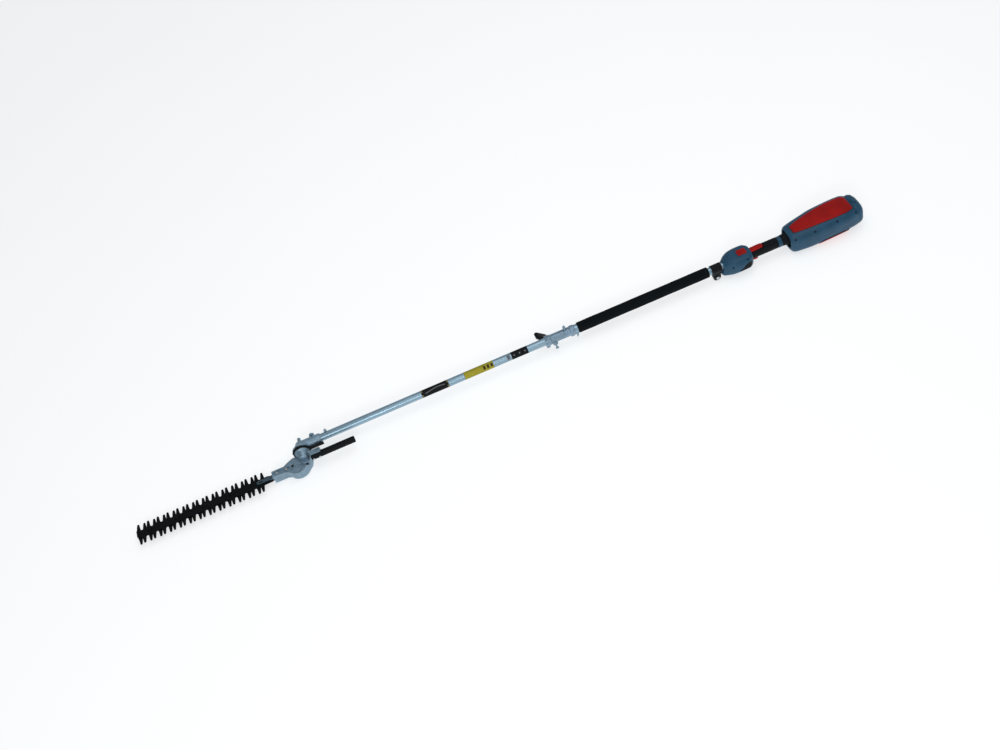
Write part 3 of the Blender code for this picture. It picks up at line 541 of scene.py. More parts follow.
def blackened(name, colour):
    """Blackened spring steel: oil streaks along the blade, grey where teeth have rubbed."""
    finish = Finish(name, colour, 0.5, metallic=0.1, specular=0.12)
    y = finish.axes()[1]
    streak = finish.noise(120.0, 4.0, 0.6, (0.12, 1.0, 1.0))
    rub = finish.noise(260.0, 3.0, 0.6, (1.0, 0.25, 1.0))
    out = finish.between(abs(y - HEAD_Y * MM), 0.024, 0.040)
    bright = finish.between(rub, 0.52, 0.7) * out * 0.5
    base = finish.mix(finish.between(streak, 0.35, 0.7), finish.shade(0.7), finish.shade(1.6))
    worn = finish.mix(bright, base, finish.shade(5.0))
    return finish.surface(worn, finish.between(streak, 0.3, 0.7, 0.34, 0.5), streak + 0.4 * rub, 0.00005)


def label_place(finish, start, length):
    """Place on a label: the share of its length along the pole, and metres round the tube from the
    label's middle."""
    x, y, z = finish.axes()
    return (x - start * MM) / (length * MM), z * math.cos(LABEL_TURN) - y * math.sin(LABEL_TURN)


def printed_label(name, base, ink, start, length, marks, tone, share=1.0):
    """Printed film: a plain ground with a row of marks, blocks of ink with a paler middle, broken
    lines beside them and a border. Start and length are along the pole, and the marks fill the
    given share of the length; past it the ground is plain but for a few thin lines."""
    finish = Finish(name, base, 0.5, specular=0.12)
    along, side = label_place(finish, start, length)
    cell = (along * marks).wrapped()
    marked = along < share
    block = (abs(cell - 0.5) < 0.32) * (abs(side) < 0.0062) * marked
    middle = (abs(cell - 0.5) < 0.10) * (abs(side) < 0.0022) * marked
    rows = ((side * 420.0).wrapped() < 0.3) * (finish.noise(330.0, 0.0) > 0.5)
    lines = rows * (abs(side) > 0.0068) * (abs(side) < 0.0105) * (abs(along - 0.5) < 0.45)
    border = (abs(along - 0.5) > 0.485).at_least(abs(side) > 0.0118)
    wear = finish.between(finish.noise(140.0, 5.0, 0.65), 0.6, 0.75)
    ground = finish.mix(finish.between(finish.noise(30.0), 0.35, 0.7), finish.shade(0.9), finish.shade(1.05))
    inked = finish.mix(block.at_least(lines) * 0.9, ground, (*ink, 1.0))
    filled = finish.mix(middle * 0.85, inked, (*tone, 1.0))
    edged = finish.mix(border, filled, finish.shade(0.6))
    aged = finish.mix(wear * 0.25, edged, finish.shade(0.7))
    return finish.surface(aged, finish.between(wear, 0.0, 1.0, 0.45, 0.6), wear, 0.00003)


def swoosh_label(name, base, ink, start, length):
    """Printed film with one broad curved band: ink where the distance across lies near a sine
    of the distance along."""
    finish = Finish(name, base, 0.5, specular=0.12)
    along, side = label_place(finish, start, length)
    wave = (along * 4.2).sine() * 0.0045
    band = finish.between(abs(side - wave), 0.0012, 0.0020, 1.0, 0.0) * (along > 0.12) * (along < 0.86)
    corner = (abs(along - 0.5) > 0.44) * (abs(side) > 0.004)
    ground = finish.mix(finish.between(finish.noise(40.0), 0.35, 0.7), finish.shade(0.8), finish.shade(1.3))
    inked = finish.mix(band * 0.8, ground, (*ink, 1.0))
    marked = finish.mix(corner * 0.7, inked, (0.24, 0.21, 0.08, 1.0))
    return finish.surface(marked, finish.between(finish.noise(200.0), 0.3, 0.7, 0.42, 0.55))


def painted_board(name, colour):
    """Circuit board: solder-masked green with paler tracks, squares of a fine grid."""
    finish = Finish(name, colour, 0.4)
    _, y, z = finish.axes()
    track = ((y * 260.0).wrapped() < 0.3).at_least((z * 190.0).wrapped() < 0.25)
    base = finish.mix(track * 0.5, finish.shade(1.0), finish.shade(2.0))
    return finish.surface(base, finish.between(finish.noise(80.0), 0.3, 0.7, 0.3, 0.5), track, 0.0001)


def wound_copper(name, colour):
    """Enamelled windings: close turns round the stator, a sine of the distance along it. The same sine paints
    shade into the grooves between turns and a painted highlight on their crests.
    """
    finish = Finish(name, colour, 0.35, metallic=0.9)
    turns = (finish.axes()[0] * 6000.0).sine()
    # painted shade in the grooves between turns and painted highlight on their crests, from the same sine as
    # the bump
    return finish.surface(finish.mix(finish.between(turns, -0.6, 0.6), finish.shade(0.4), finish.shade(1.2)),
                          finish.between(finish.noise(120.0), 0.3, 0.7, 0.28, 0.45), turns, 0.0001)


FINISHES = {}


def make_finishes():
    """Every finish of the trimmer, by the name of the record's material slot or its own."""
    plastics = bpy.context.scene.trimmer_plastics
    pole = bpy.context.scene.trimmer_pole
    head = bpy.context.scene.trimmer_head
    blue, red, black, casting = (tuple(c) for c in (plastics.blue, plastics.red, plastics.black,
                                                    head.casting))
    bar = tuple(c * 0.45 for c in casting)
    FINISHES.update({
        "blue_housing": moulded("housing blue, grained", blue, 0.42, plastics.grain),
        "red_trim": moulded("trim red, satin", red, 0.46, plastics.grain * 0.6, 0.16),
        "black_plastic": moulded("black plastic", black, 0.5, plastics.grain, 0.12),
        "black_rubber": ribbed_rubber("grip rubber", black, 0.0042, 0.5),
        "foam": soft_foam("grip foam", tuple(pole.foam)),
        "bare_tube": drawn_tube("anodised tube", tuple(pole.metal)),
        "cast_aluminium": cast_metal("blasted casting", casting),
        "steel": turned_metal("turned steel", (0.42, 0.44, 0.46), 0.32),
        "bright_steel": turned_metal("zinc-plated steel", (0.62, 0.66, 0.68), 0.28, (1.0, 1.0, 0.1)),
        "guide_steel": turned_metal("rolled guide steel", bar, 0.4, (0.05, 1.0, 1.0)),
        "blade_steel": blackened("blackened blade steel", tuple(head.blade)),
        "black_metal": moulded("black coating", (0.004, 0.005, 0.006), 0.45, 0.0001, 0.15),
        "copper_winding": wound_copper("copper windings", (0.42, 0.16, 0.06)),
        "green_board": painted_board("circuit board", (0.02, 0.10, 0.05)),
    })


# ---- one operator for each piece or group of like pieces --------------------------------

def housing_half(name, rings, node):
    """Joins outer and inner skin into one wall: rows along the pole, closed round its ends and
    along both edges of the split."""
    rows, columns = rings.shape[:2]
    index = np.arange(rows * columns).reshape(rows, columns)
    following = np.roll(index, -1, axis=0)
    quads = np.stack([index[:, :-1], index[:, 1:], following[:, 1:], following[:, :-1]], axis=-1)
    faces = quads.reshape(-1, 4).tolist()
    half = rows // 2
    for column, turn in ((0, 1), (columns - 1, -1)):
        outer = index[:half, column]
        inner = index[half:, column][::-1]
        edge = np.stack([outer[:-1], outer[1:], inner[1:], inner[:-1]], axis=-1)[:, ::turn]
        faces += edge.tolist()
    new_piece(name, rings, faces, "pole_unit", "blue_housing", node)


def two_halves(word, outer_skin, inner_skin):
    """Both halves of a housing: its skins for the side of +Y, and the same mirrored."""
    for hand, side in (("right", 1), ("left", -1)):
        rings = np.concatenate([outer_skin, inner_skin])
        rings[..., 1] = side * np.maximum(rings[..., 1], SPLIT_GAP)
        housing_half(f"{word}_housing_{hand}", rings, f"{word}_shell_{hand}")


class TRIMMER_OT_rear_housing(bpy.types.Operator):
    """Two grained halves of the rear housing, with the stepped edge of the battery tray"""
    bl_idname = "trimmer.rear_housing"
    bl_label = "Rear housing"

    def execute(self, context):
        x = graded(((19.6, 30, 14), (30, 160, 70), (160, 176, 16), (176, 254, 34), (254, 264, 14)))
        t = np.linspace(0, math.pi, 96)
        along, turn = x[:, None], t[None, :]
        outer = around(along, turn, REAR_SECTIONS, self.relief(along, turn))
        inner = around(along[::-1], turn, REAR_SECTIONS, REAR_WALL)
        inner[:8, :, 0] -= np.linspace(2.6, 0, 8)[:, None]
        two_halves("rear", outer, inner)
        return {"FINISHED"}

    def relief(self, x, t):
        """How far the outside lies under the plain oval: below a line that rises to the rear it is
        set back by a millimetre behind a narrow groove, and the long edge above the line is crowned."""
        line = eased(x, (19, 60, 110, 150, 166, 178), (1.42, 1.52, 1.62, 1.76, 2.0, 2.4))
        below = 1 / (1 + np.exp(-(t - line) / 0.014))
        reach = 1 / (1 + np.exp((x - 176) / 1.6))
        groove = np.exp(-(((t - line) / 0.020) ** 2))
        parting = np.exp(-((np.minimum(t, math.pi - t) / 0.004) ** 2))
        return reach * (1.3 * below + 0.6 * groove) + 0.35 * parting


def pad_on(x, reach, side, low, height, dent=0.0):
    """Rings of a soft-edged pad on the rear housing: across it the angle goes from one edge to the
    other, and its thickness is (1 - |a|^10)^(1/2) of the height, a going from -1 to 1. A dent
    sinks it by that much at its first end."""
    half = eased(x, REAR_SECTIONS[:, 0], REAR_SECTIONS[:, 1])
    share = np.clip(reach / half, 0, 0.995)
    edge = np.arcsin(share ** (SHAPE / 2))
    a = np.linspace(-1, 1, 44)
    start = 0.0 if side > 0 else math.pi
    t = start + edge[:, None] * a[None, :]
    along = x[:, None] + 0 * t
    thick = low + (height - low) * np.sqrt(np.clip(1 - np.abs(a) ** 10, 0, 1))[None, :]
    dish = dent * np.exp(-(((along - x[0] - 17) / 12) ** 2)) * np.clip(1 - (a / 0.75) ** 4, 0, 1)
    thick = np.broadcast_to(thick, t.shape) - dish
    thick[0] = thick[-1] = low + 0.25 * (height - low)
    outer = around(along, t, REAR_SECTIONS, -thick)
    inner = around(along, t, REAR_SECTIONS, -low)
    return np.concatenate([outer, inner[:, ::-1]], axis=1)


def pad_outline(x, start, end, reach, corner):
    """Half width of a pad with round corners: reach times (1 - |s|^p)^(1/p), s going from -1 to 1
    along the pad."""
    s = 2 * (x - start) / (end - start) - 1
    return reach * np.clip(1 - np.abs(s) ** corner, 0.0, 1) ** (1 / corner)


class TRIMMER_OT_pads(bpy.types.Operator):
    """Red pads on the rear housing, each ringed by a black band that paints the shadow line at its edge, and
    the housing's screws
    """
    bl_idname = "trimmer.pads"
    bl_label = "Pads and screws"

    def execute(self, context):
        height = context.scene.trimmer_plastics.pad_height / MM
        top_knots = ((27, 30), (45, 34.5), (70, 37.5), (102, 37.3), (147, 34), (187, 29), (205, 26),
                     (233, 20), (245, 17))
        low_knots = ((58, 52.6), (75, 54), (110, 54.4), (155, 53), (172, 51.5))
        for word, side, knots, node in (("top", 1, top_knots, "rear_top_insert"),
                                        ("bottom", -1, low_knots, "rear_bottom_insert")):
            knots = np.array(knots, float)
            start, end = knots[0, 0], knots[-1, 0]
            s = (1 - np.cos(np.linspace(0, math.pi, 72))) / 2
            x = start + (end - start) * s
            reach = pad_outline(x, start - 0.01, end + 0.01, eased(x, *knots.T), 14.0 if side > 0 else 9.0)
            rings = pad_on(x, np.maximum(reach, 2.0), side, 0.35, height, 1.3 * (side > 0))
            carried(f"rear_{word}_pad", rings, "pole_unit", "red_trim", node)
            # painted shade: a black band just larger than the pad, standing for the shadow line round its
            # edge
            x = start - 1.4 + (end - start + 2.8) * s
            reach = pad_outline(x, start - 1.41, end + 1.41, eased(x, *knots.T) + 1.3, 14.0)
            rings = pad_on(x, np.maximum(reach, 2.0), side, 0.05, 0.5)
            carried(f"rear_{word}_shadow_band", rings, "pole_unit", "black_plastic")
        self.screws()
        return {"FINISHED"}

    def screws(self):
        """Screws sunk in the near flank of both housings: a dark cup turned about the surface's own
        normal, with a domed head in it."""
        places = [(REAR_SECTIONS, x, 0.93) for x in (27.0, 105.0, 183.0, 250.0)] + [
            (CONTROL_SECTIONS, x, t) for x, t in ((474.0, 1.38), (421.0, 0.93))]
        for number, (sections, x, t) in enumerate(places, 1):
            point = around(x, t, sections)
            ahead = around(x + 1.0, t, sections) - point
            beside = around(x, t + 0.01, sections) - point
            normal = np.cross(beside, ahead)
            normal /= np.linalg.norm(normal)
            if normal[1] < 0:
                normal = -normal
            first = ahead / np.linalg.norm(ahead)
            second = np.cross(normal, first)
            profile = rounded(((-2.2, 0.05), (0.25, 1.2), (0.1, 2.2), (0.55, 2.9), (0.35, 3.6),
                               (-2.0, 3.7)), 0.3)
            a = circle(28)
            ring = first * np.cos(a)[:, None] + second * np.sin(a)[:, None]
            rings = point + profile[:, :1, None] * normal + profile[:, 1:, None] * ring
            carried(f"housing_screw_{number}", rings, "pole_unit", "black_metal")


class TRIMMER_OT_battery(bpy.types.Operator):
    """Battery with its rounded cap and latch"""
    bl_idname = "trimmer.battery"
    bl_label = "Battery"

    def execute(self, context):
        smoothed("battery_pack", "blue_housing", 0.0005)
        smoothed("battery_latch", "blue_housing", 0.0005)
        return {"FINISHED"}


class TRIMMER_OT_control_housing(bpy.types.Operator):
    """Control housing: two halves with a sunk seat for the button and vent slots on the flank"""
    bl_idname = "trimmer.control_housing"
    bl_label = "Control housing"

    def execute(self, context):
        x = graded(((398, 406, 14), (406, 446, 66), (446, 490, 50), (490, 500, 12)))
        t = np.linspace(0, math.pi, 150)
        along, turn = x[:, None], t[None, :]
        outer = around(along, turn, CONTROL_SECTIONS, self.relief(along, turn))
        inner = around(along[::-1], turn, CONTROL_SECTIONS, CONTROL_WALL)
        self.meet_openings(inner)
        two_halves("control", outer, inner)
        self.vents()
        smoothed("button_bezel", "blue_housing")
        smoothed("power_button", "red_trim", 0.0008)
        return {"FINISHED"}

    def vents(self):
        """Black vent insert low on each flank: a band of the housing's own surface, set out by a
        saw of fine ribs across it."""
        x = np.linspace(407, 451, 89)[:, None]
        s = np.linspace(0, 1, 14)[None, :]
        low = 1.38 + 0.34 * np.clip((x - 418) / 33, 0, 1)
        t = low + (1.86 - low) * s
        rib = 0.35 + 0.45 * (np.abs((x / 4) % 1 - 0.5) > 0.22) * (s > 0.12) * (s < 0.88)
        for word, side in (("right", 1), ("left", -1)):
            outer = around(x, t, CONTROL_SECTIONS, -rib)
            inner = around(x, t, CONTROL_SECTIONS, 0.4)
            rings = np.concatenate([outer, inner[:, ::-1]], axis=1)
            rings[..., 1] *= side
            carried(f"control_vent_{word}", rings, "pole_unit", "black_plastic")

    def relief(self, x, t):
        """How far the outside is cut back: a flat seat under the button and a soft crease along the
        flank above the vents."""
        half, top, bottom = (eased(x, CONTROL_SECTIONS[:, 0], CONTROL_SECTIONS[:, k]) for k in (1, 2, 3))
        y = oval(t, half, top, bottom)[0]
        middle, half_length, half_width = BUTTON
        seat = self.inside(x, middle, half_length + 1.2, 0.8) * self.inside(y, 0, half_width + 1.2, 0.8)
        seat *= t < 1.2
        crease = np.exp(-(((t - 1.22) / 0.05) ** 2)) * self.inside(x, 440, 36, 8)
        parting = np.exp(-((np.minimum(t, math.pi - t) / 0.006) ** 2))
        return 4.6 * seat + 0.6 * crease + 0.3 * parting

    def inside(self, value, middle, half, soft):
        """1 where value is within half of the middle, 0 outside, over a soft edge."""
        return 1 / (1 + np.exp((np.abs(value - middle) - half) / (soft / 4)))

    def meet_openings(self, inner):
        """Pulls the inner skin in at both ends, to the round hole at the front and the doorway for the
        handle at the rear."""
        count = 16
        radius = np.hypot(inner[:count, :, 1], inner[:count, :, 2])
        pull = np.linspace(1, 0, count)[:, None]
        scale = 1 + pull * (13.9 / radius - 1)
        inner[:count, :, 1] *= scale
        inner[:count, :, 2] *= scale
        inner[:count, :, 0] -= pull * 2.4
        door = np.linspace(0, 1, count)[:, None]
        y, z = inner[-count:, :, 1], inner[-count:, :, 2]
        middle = -1.3
        reach = (np.abs(y / 19.8) ** 2.6 + np.abs((z - middle) / 24.2) ** 2.6) ** (1 / 2.6)
        shrink = 1 + door * (1 / np.maximum(reach, 1e-6) - 1)
        inner[-count:, :, 1] = y * shrink
        inner[-count:, :, 2] = middle + (z - middle) * shrink


class TRIMMER_OT_handle(bpy.types.Operator):
    """Rubber grip with its boot and band, the lock lever and the trigger"""
    bl_idname = "trimmer.handle"
    bl_label = "Handle"

    def execute(self, context):
        smoothed("handle_grip", "black_rubber", 0.0006)
        smoothed("neck_boot", "black_rubber")
        smoothed("grip_band", "blue_housing", 0.0006)
        smoothed("lock_lever", "red_trim", 0.0006)
        smoothed("trigger", "red_trim", 0.0012)
        self.thumb_ridges()
        return {"FINISHED"}

    def thumb_ridges(self):
        """Low ridges across the lever's end: half ovals whose height falls off to both sides."""
        a = circle(20)
        s = np.linspace(-1, 1, 14)[:, None]
        for number, x in enumerate((359.0, 363.0, 367.0), 1):
            fall = np.sqrt(np.clip(1 - s**2, 0.02, 1))
            rings = np.stack([x + 0.8 * np.cos(a) * fall, 5.6 * s + 0 * a, 22.9 + 0.7 * np.sin(a) * fall], -1)
            carried(f"lever_ridge_{number}", rings, "lock_lever", "red_trim")


class TRIMMER_OT_pole(bpy.types.Operator):
    """Bare tubes, each a wall turned about the pole's axis with broken edges"""
    bl_idname = "trimmer.pole"
    bl_label = "Pole tubes"

    def execute(self, context):
        for word in ("upper", "lower"):
            low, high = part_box(word + "_tube")
            start, end = low.x / MM, high.x / MM
            steps = np.linspace(start + 0.4, end - 0.4, 60)
            outside = [(start, TUBE_R - 0.4)] + [(s, TUBE_R) for s in steps] + [(end, TUBE_R - 0.4)]
            profile = outside + [(end, TUBE_BORE_R + 0.2), (end - 0.3, TUBE_BORE_R),
                                 (start + 0.3, TUBE_BORE_R), (start, TUBE_BORE_R + 0.2)]
            rings = turned("X", (0, 0), profile, 72)
            carried(word + "_pole_tube", rings, "pole_unit", "bare_tube", word + "_tube", loop=True)
        smoothed("tube_screw", "cast_aluminium")
        return {"FINISHED"}


class TRIMMER_OT_foam(bpy.types.Operator):
    """Foam grip: a sleeve with full round ends, a little uneven along its length"""
    bl_idname = "trimmer.foam"
    bl_label = "Foam grip"

    def execute(self, context):
        low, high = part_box("foam_grip")
        start, end = low.x / MM, high.x / MM
        radius = context.scene.trimmer_pole.foam_radius / MM
        a = circle(72)[None, :]
        x = graded(((start, start + 4, 12), (start + 4, end - 4, 150), (end - 4, end, 12)))[:, None]
        edge = np.clip(np.minimum(x - start, end - x) / 4, 0, 1)
        swell = 0.22 * np.sin(x / 41.0) * np.sin(x / 17.3 + 2 * a) * edge
        outer_r = FOAM_EDGE_R + (radius - FOAM_EDGE_R) * np.sqrt(1 - (1 - edge) ** 2) + swell - 0.1
        outer = np.stack([x + 0 * a, outer_r * np.cos(a), outer_r * np.sin(a)], axis=-1)
        back = np.linspace(end, start, 30)[:, None]
        inner = np.stack(np.broadcast_arrays(back, FOAM_BORE_R * np.cos(a), FOAM_BORE_R * np.sin(a)), axis=-1)
        rings = np.concatenate([outer, inner])
        sleeve = carried("foam_sleeve", rings, "pole_unit", "foam", "foam_grip", loop=True)
        return {"FINISHED"}


class TRIMMER_OT_hanger(bpy.types.Operator):
    """Black clamp for the harness, with its bolt"""
    bl_idname = "trimmer.hanger"
    bl_label = "Hanger clamp"

    def execute(self, context):
        smoothed("hanger_clamp", "black_metal", 0.0008)
        smoothed("hanger_bolt", "bright_steel")
        return {"FINISHED"}


class TRIMMER_OT_coupler(bpy.types.Operator):
    """Pole coupler with its pin, screw, knob and tab ring"""
    bl_idname = "trimmer.coupler"
    bl_label = "Coupler"

    def execute(self, context):
        width = context.scene.trimmer_head.edge_round
        smoothed("coupler_body", "cast_aluminium", width)
        smoothed("locating_pin", "cast_aluminium")
        smoothed("coupler_screw", "steel", finish="cast_aluminium")
        smoothed("tab_ring", "bare_tube", 0.0003)
        smoothed("coupler_knob", "black_plastic", 0.003)
        return {"FINISHED"}


class TRIMMER_OT_labels(bpy.types.Operator):
    """Printed films on the lower tube, each a thin patch bent round it, with plain marks"""
    bl_idname = "trimmer.labels"
    bl_label = "Labels"

    def execute(self, context):
        yellow = tuple(context.scene.trimmer_pole.yellow)
        self.film("black_label", 1209, 1268, printed_label(
            "black label", (0.0025, 0.003, 0.004), (0.010, 0.011, 0.013), 1209, 59, 3.0, (0.22, 0.24, 0.26)))
        self.film("grey_sticker", 1272, 1285, printed_label(
            "grey sticker", (0.26, 0.33, 0.38), (0.10, 0.11, 0.12), 1272, 13, 1.0, (0.16, 0.18, 0.20)), 44)
        self.film("yellow_label", 1333, 1438, printed_label(
            "yellow label", yellow, (0.012, 0.012, 0.010), 1333, 105, 8.0, (0.012, 0.012, 0.010), 0.375))
        self.film("dark_label", 1495, 1593, swoosh_label(
            "dark label", (0.0035, 0.0045, 0.0055), (0.16, 0.18, 0.19), 1495, 98))
        return {"FINISHED"}

    def film(self, name, start, end, finish, half_turn=78):
        """A patch of a cylinder a tenth of a millimetre off the tube, a fifth of one thick. It is
        centred on the side that faces up and towards the gear case."""
        a = LABEL_TURN + np.radians(np.linspace(-half_turn, half_turn, 60))
        a = np.concatenate([a, a[::-1]])
        r = TUBE_R + np.concatenate([np.full(60, 0.2), np.full(60, 0.06)])
        x = np.linspace(start, end, 24)[:, None]
        rings = np.stack([x + 0 * a, r * np.cos(a) + 0 * x, r * np.sin(a) + 0 * x], axis=-1)
        carried(name, rings, "pole_unit", "black_plastic", finish=finish)


class TRIMMER_OT_head(bpy.types.Operator):
    """Folding head: clamp case, index plate, gear case, angle lever and their bolts"""
    bl_idname = "trimmer.head"
    bl_label = "Folding head"

    def execute(self, context):
        width = context.scene.trimmer_head.edge_round
        for node in ("clamp_case", "gearcase_upper", "gearcase_lower"):
            smoothed(node, "cast_aluminium", width)
        for node in ("pinch_bolt", "pivot_bolt", "lever_bracket"):
            smoothed(node, "cast_aluminium")
        smoothed("index_plate", "black_metal")
        smoothed("lever_tube", "black_plastic", 0.0005)
        smoothed("grease_plug", "black_plastic", 0.0003)
        for node in ("bar_bolt_1", "bar_bolt_2", "lever_bolt_1", "lever_bolt_2"):
            smoothed(node, "bright_steel")
        self.case_screws()
        self.ribs()
        self.slot()
        return {"FINISHED"}

    def case_screws(self):
        """Screws that hold the case together: a washer face, a round head and a sunk socket, turned
        about the vertical."""
        for number, (x, y) in enumerate(((2019.0, 61.5), (2044.0, 84.5), (2081.0, 78.0), (2081.0, 41.0)), 1):
            profile = rounded(((-7.6, 5.4), (-6.7, 5.4), (-6.5, 3.6), (-3.9, 3.5), (-3.6, 1.9), (-5.6, 1.7),
                               (-5.7, 0.05)), 0.35)
            rings = turned("Z", (x, y), profile, 36)
            carried(f"case_screw_{number}", rings, "head", "cast_aluminium")

    def slot(self):
        """Black plug in an oblong hole at the case's back corner: rings of a rounded bar's outline
        |x/a|^4 + |y/b|^4 = 1, turned to lie along the corner."""
        a = circle(48)
        c, s = np.cos(a), np.sin(a)
        x = np.sign(c) * np.abs(c) ** 0.5
        y = np.sign(s) * np.abs(s) ** 0.5
        turn = math.radians(-24)
        rings = []
        for half_long, half_wide, z in ((6.6, 2.7, -7.9), (6.6, 2.7, -7.0), (6.2, 2.3, -6.7),
                                        (5.0, 1.4, -6.9), (4.6, 1.2, -7.2)):
            u, v = half_long * x, half_wide * y
            rings.append(np.stack([2024 + u * math.cos(turn) - v * math.sin(turn),
                                   75.5 + u * math.sin(turn) + v * math.cos(turn), z + 0 * u], axis=-1))
        carried("case_slot", np.array(rings), "head", "black_plastic")

    def ribs(self):
        """Low ribs on the case's top, each a half-oval bar that dies away at its ends."""
        a = circle(20)
        s = np.linspace(0, 1, 26)[:, None]
        lines = (((2040, 74), (2066, 83)), ((2050, 66), (2079, 70)), ((2070, 47), (2095, 50.5)),
                 ((2040, 43), (2064, 40)))
        for number, (start, end) in enumerate(lines, 1):
            start, end = np.array(start, float), np.array(end, float)
            line = start + (end - start) * s
            side = np.array([start[1] - end[1], end[0] - start[0]])
            side /= np.linalg.norm(side)
            fall = np.sqrt(np.clip(np.sin(math.pi * s), 0.01, 1))
            out = 1.7 * np.cos(a) * fall
            up = CASE_TOP_Z + 1.5 * np.sin(a) * fall
            rings = np.stack([line[:, :1] + side[0] * out, line[:, 1:] + side[1] * out, up], axis=-1)
            carried(f"case_rib_{number}", rings, "head", "cast_aluminium")


class TRIMMER_OT_blades(bpy.types.Operator):
    """Both toothed blades, the bars above and below them, and the blade bolts"""
    bl_idname = "trimmer.blades"
    bl_label = "Blades"

    def execute(self, context):
        for node in ("blade_upper", "blade_lower", "support_bar"):
            smoothed(node, "blade_steel")
        smoothed("guide_bar", "steel", finish="guide_steel")
        for number in range(1, 5):
            smoothed(f"blade_bolt_{number}", "blade_steel", 0.0003)
        return {"FINISHED"}


class TRIMMER_OT_inner_works(bpy.types.Operator):
    """Pieces inside the housings: motor, board, shafts, gears, bearings, pins and the switch"""
    bl_idname = "trimmer.inner_works"
    bl_label = "Inner works"

    def execute(self, context):
        for node, slot in (
            ("motor_stator", "copper_winding"), ("motor_rotor", "steel"), ("controller_board", "green_board"),
            ("upper_drive_shaft", "steel"), ("lower_drive_shaft", "steel"), ("shaft_bush", "black_plastic"),
            ("cross_shaft", "steel"), ("lay_gear", "steel"), ("crank_gear", "steel"),
            ("neck_bearing", "bright_steel"), ("lock_lever_pin", "steel"), ("trigger_pin", "steel"),
            ("trigger_switch", "black_plastic"),
        ):
            materials = frame["nodes"][node].data.materials
            materials.clear()
            materials.append(FINISHES[slot])
        return {"FINISHED"}


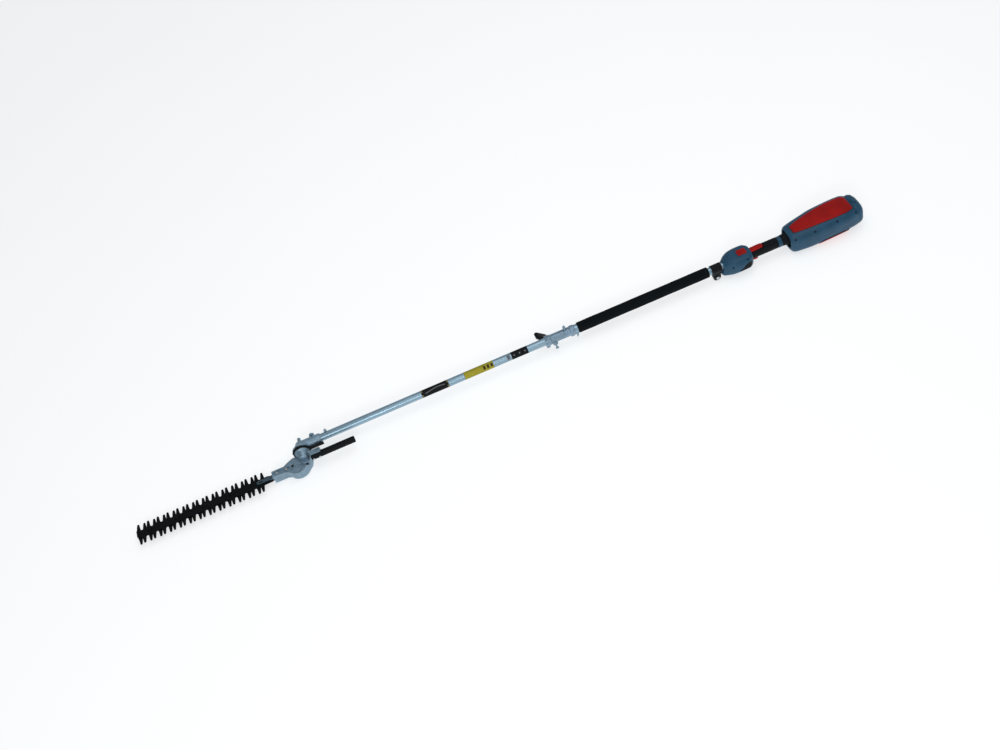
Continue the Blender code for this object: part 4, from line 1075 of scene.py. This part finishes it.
class TRIMMER_OT_stage(bpy.types.Operator):
    """Pale floor, soft light from above and the camera"""
    bl_idname = "trimmer.stage"
    bl_label = "Stage"

    def execute(self, context):
        stage = context.scene.trimmer_stage
        self.floor(stage)
        self.camera(context, stage)
        self.lights(context, stage)
        context.scene.view_settings.view_transform = "Standard"
        return {"FINISHED"}

    def floor(self, stage):
        """A flat sheet just under the lowest point."""
        half = 40.0
        height = cad_low.z - 0.0005
        corners = ((-half, -half), (half, -half), (half, half), (-half, half))
        mesh = bpy.data.meshes.new("floor")
        mesh.from_pydata([(STAGE_MIDDLE + x, y, height) for x, y in corners], [], [(0, 1, 2, 3)])
        finish = Finish("floor", tuple(stage.floor), 0.9, specular=0.1)
        tone = finish.between(finish.noise(1.5, 2.0), 0.3, 0.7)
        finish.put(finish.shader.inputs["Emission Color"], (1.0, 1.0, 1.0, 1.0))
        finish.put(finish.shader.inputs["Emission Strength"], stage.floor_glow)
        mesh.materials.append(finish.surface(finish.mix(tone, finish.shade(0.99), finish.shade(1.0))))
        floor = bpy.data.objects.new("floor", mesh)
        bpy.context.scene.collection.objects.link(floor)

    def camera(self, context, stage):
        """Faces the pole squarely from the gear case's side, rolled so that the pole slopes."""
        e, r = stage.elevation, stage.roll
        square = Vector((0, math.cos(e), math.sin(e)))
        up = Vector((0, -math.sin(e), math.cos(e)))
        along = Vector((1, 0, 0))
        back = square * math.cos(stage.swing) + along * math.sin(stage.swing)
        right = up.cross(back)
        aim = Vector((stage.aim, 0, 0)) - up * stage.drop
        rolled_right = right * math.cos(r) - up * math.sin(r)
        rolled_up = right * math.sin(r) + up * math.cos(r)
        place = Matrix((rolled_right, rolled_up, back)).transposed().to_4x4()
        place.translation = aim + back * stage.distance
        camera = bpy.data.objects.new("camera", bpy.data.cameras.new("camera"))
        context.scene.collection.objects.link(camera)
        camera.matrix_world = place
        camera.data.sensor_width = 36.0
        camera.data.lens = stage.lens
        camera.data.clip_end = 100.0
        context.scene.camera = camera

    def lights(self, context, stage):
        """A pale sky and two broad lamps, one overhead and one over the near side."""
        world = bpy.data.worlds.new("studio")
        world.use_nodes = True
        sky = world.node_tree.nodes["Background"]
        sky.inputs["Color"].default_value = (0.93, 0.97, 1.0, 1.0)
        sky.inputs["Strength"].default_value = 0.40 * stage.light
        context.scene.world = world
        for name, place, size, power in (
            ("broad_key", (0.6, 0.2, 3.5), 3.4, 33.0),
            ("near_fill", (2.2, 3.6, 2.4), 1.5, 38.0),
        ):
            data = bpy.data.lights.new(name, "AREA")
            data.shape = "RECTANGLE"
            data.size = size
            data.size_y = size * 0.6
            data.energy = power * stage.light
            data.color = (0.96, 0.98, 1.0)
            lamp = bpy.data.objects.new(name, data)
            context.scene.collection.objects.link(lamp)
            lamp.location = place
            lamp.rotation_mode = "QUATERNION"
            lamp.rotation_quaternion = (Vector(place) - Vector((STAGE_MIDDLE, 0, 0))).to_track_quat("Z", "Y")


class TRIMMER_PT_pieces(bpy.types.Panel):
    """Lists the trimmer's pieces and settings"""
    bl_idname = "TRIMMER_PT_pieces"
    bl_label = "Pole hedge trimmer"
    bl_space_type = "VIEW_3D"
    bl_region_type = "UI"
    bl_category = "Trimmer"

    def draw(self, context):
        for operator in OPERATORS:
            self.layout.operator(operator.bl_idname)
        for owner in SETTINGS:
            settings = getattr(context.scene, owner)
            box = self.layout.box()
            for key in settings.__annotations__:
                box.prop(settings, key)


SETTINGS = {
    "trimmer_plastics": TrimmerPlastics,
    "trimmer_pole": TrimmerPole,
    "trimmer_head": TrimmerHead,
    "trimmer_stage": TrimmerStage,
}
OPERATORS = (
    TRIMMER_OT_stage, TRIMMER_OT_rear_housing, TRIMMER_OT_pads, TRIMMER_OT_battery,
    TRIMMER_OT_control_housing, TRIMMER_OT_handle, TRIMMER_OT_pole, TRIMMER_OT_foam, TRIMMER_OT_hanger,
    TRIMMER_OT_coupler, TRIMMER_OT_labels, TRIMMER_OT_head, TRIMMER_OT_blades, TRIMMER_OT_inner_works,
)


def register():
    for made in (*SETTINGS.values(), *OPERATORS, TRIMMER_PT_pieces):
        bpy.utils.register_class(made)
    for owner, made in SETTINGS.items():
        setattr(bpy.types.Scene, owner, bpy.props.PointerProperty(type=made))


def unregister():
    for owner in SETTINGS:
        delattr(bpy.types.Scene, owner)
    for made in reversed((*SETTINGS.values(), *OPERATORS, TRIMMER_PT_pieces)):
        bpy.utils.unregister_class(made)


def main():
    register()
    make_finishes()
    for operator in OPERATORS:
        group, word = operator.bl_idname.split(".")
        getattr(getattr(bpy.ops, group), word)()
    bpy.context.view_layer.update()


if __name__ == "__main__":
    main()
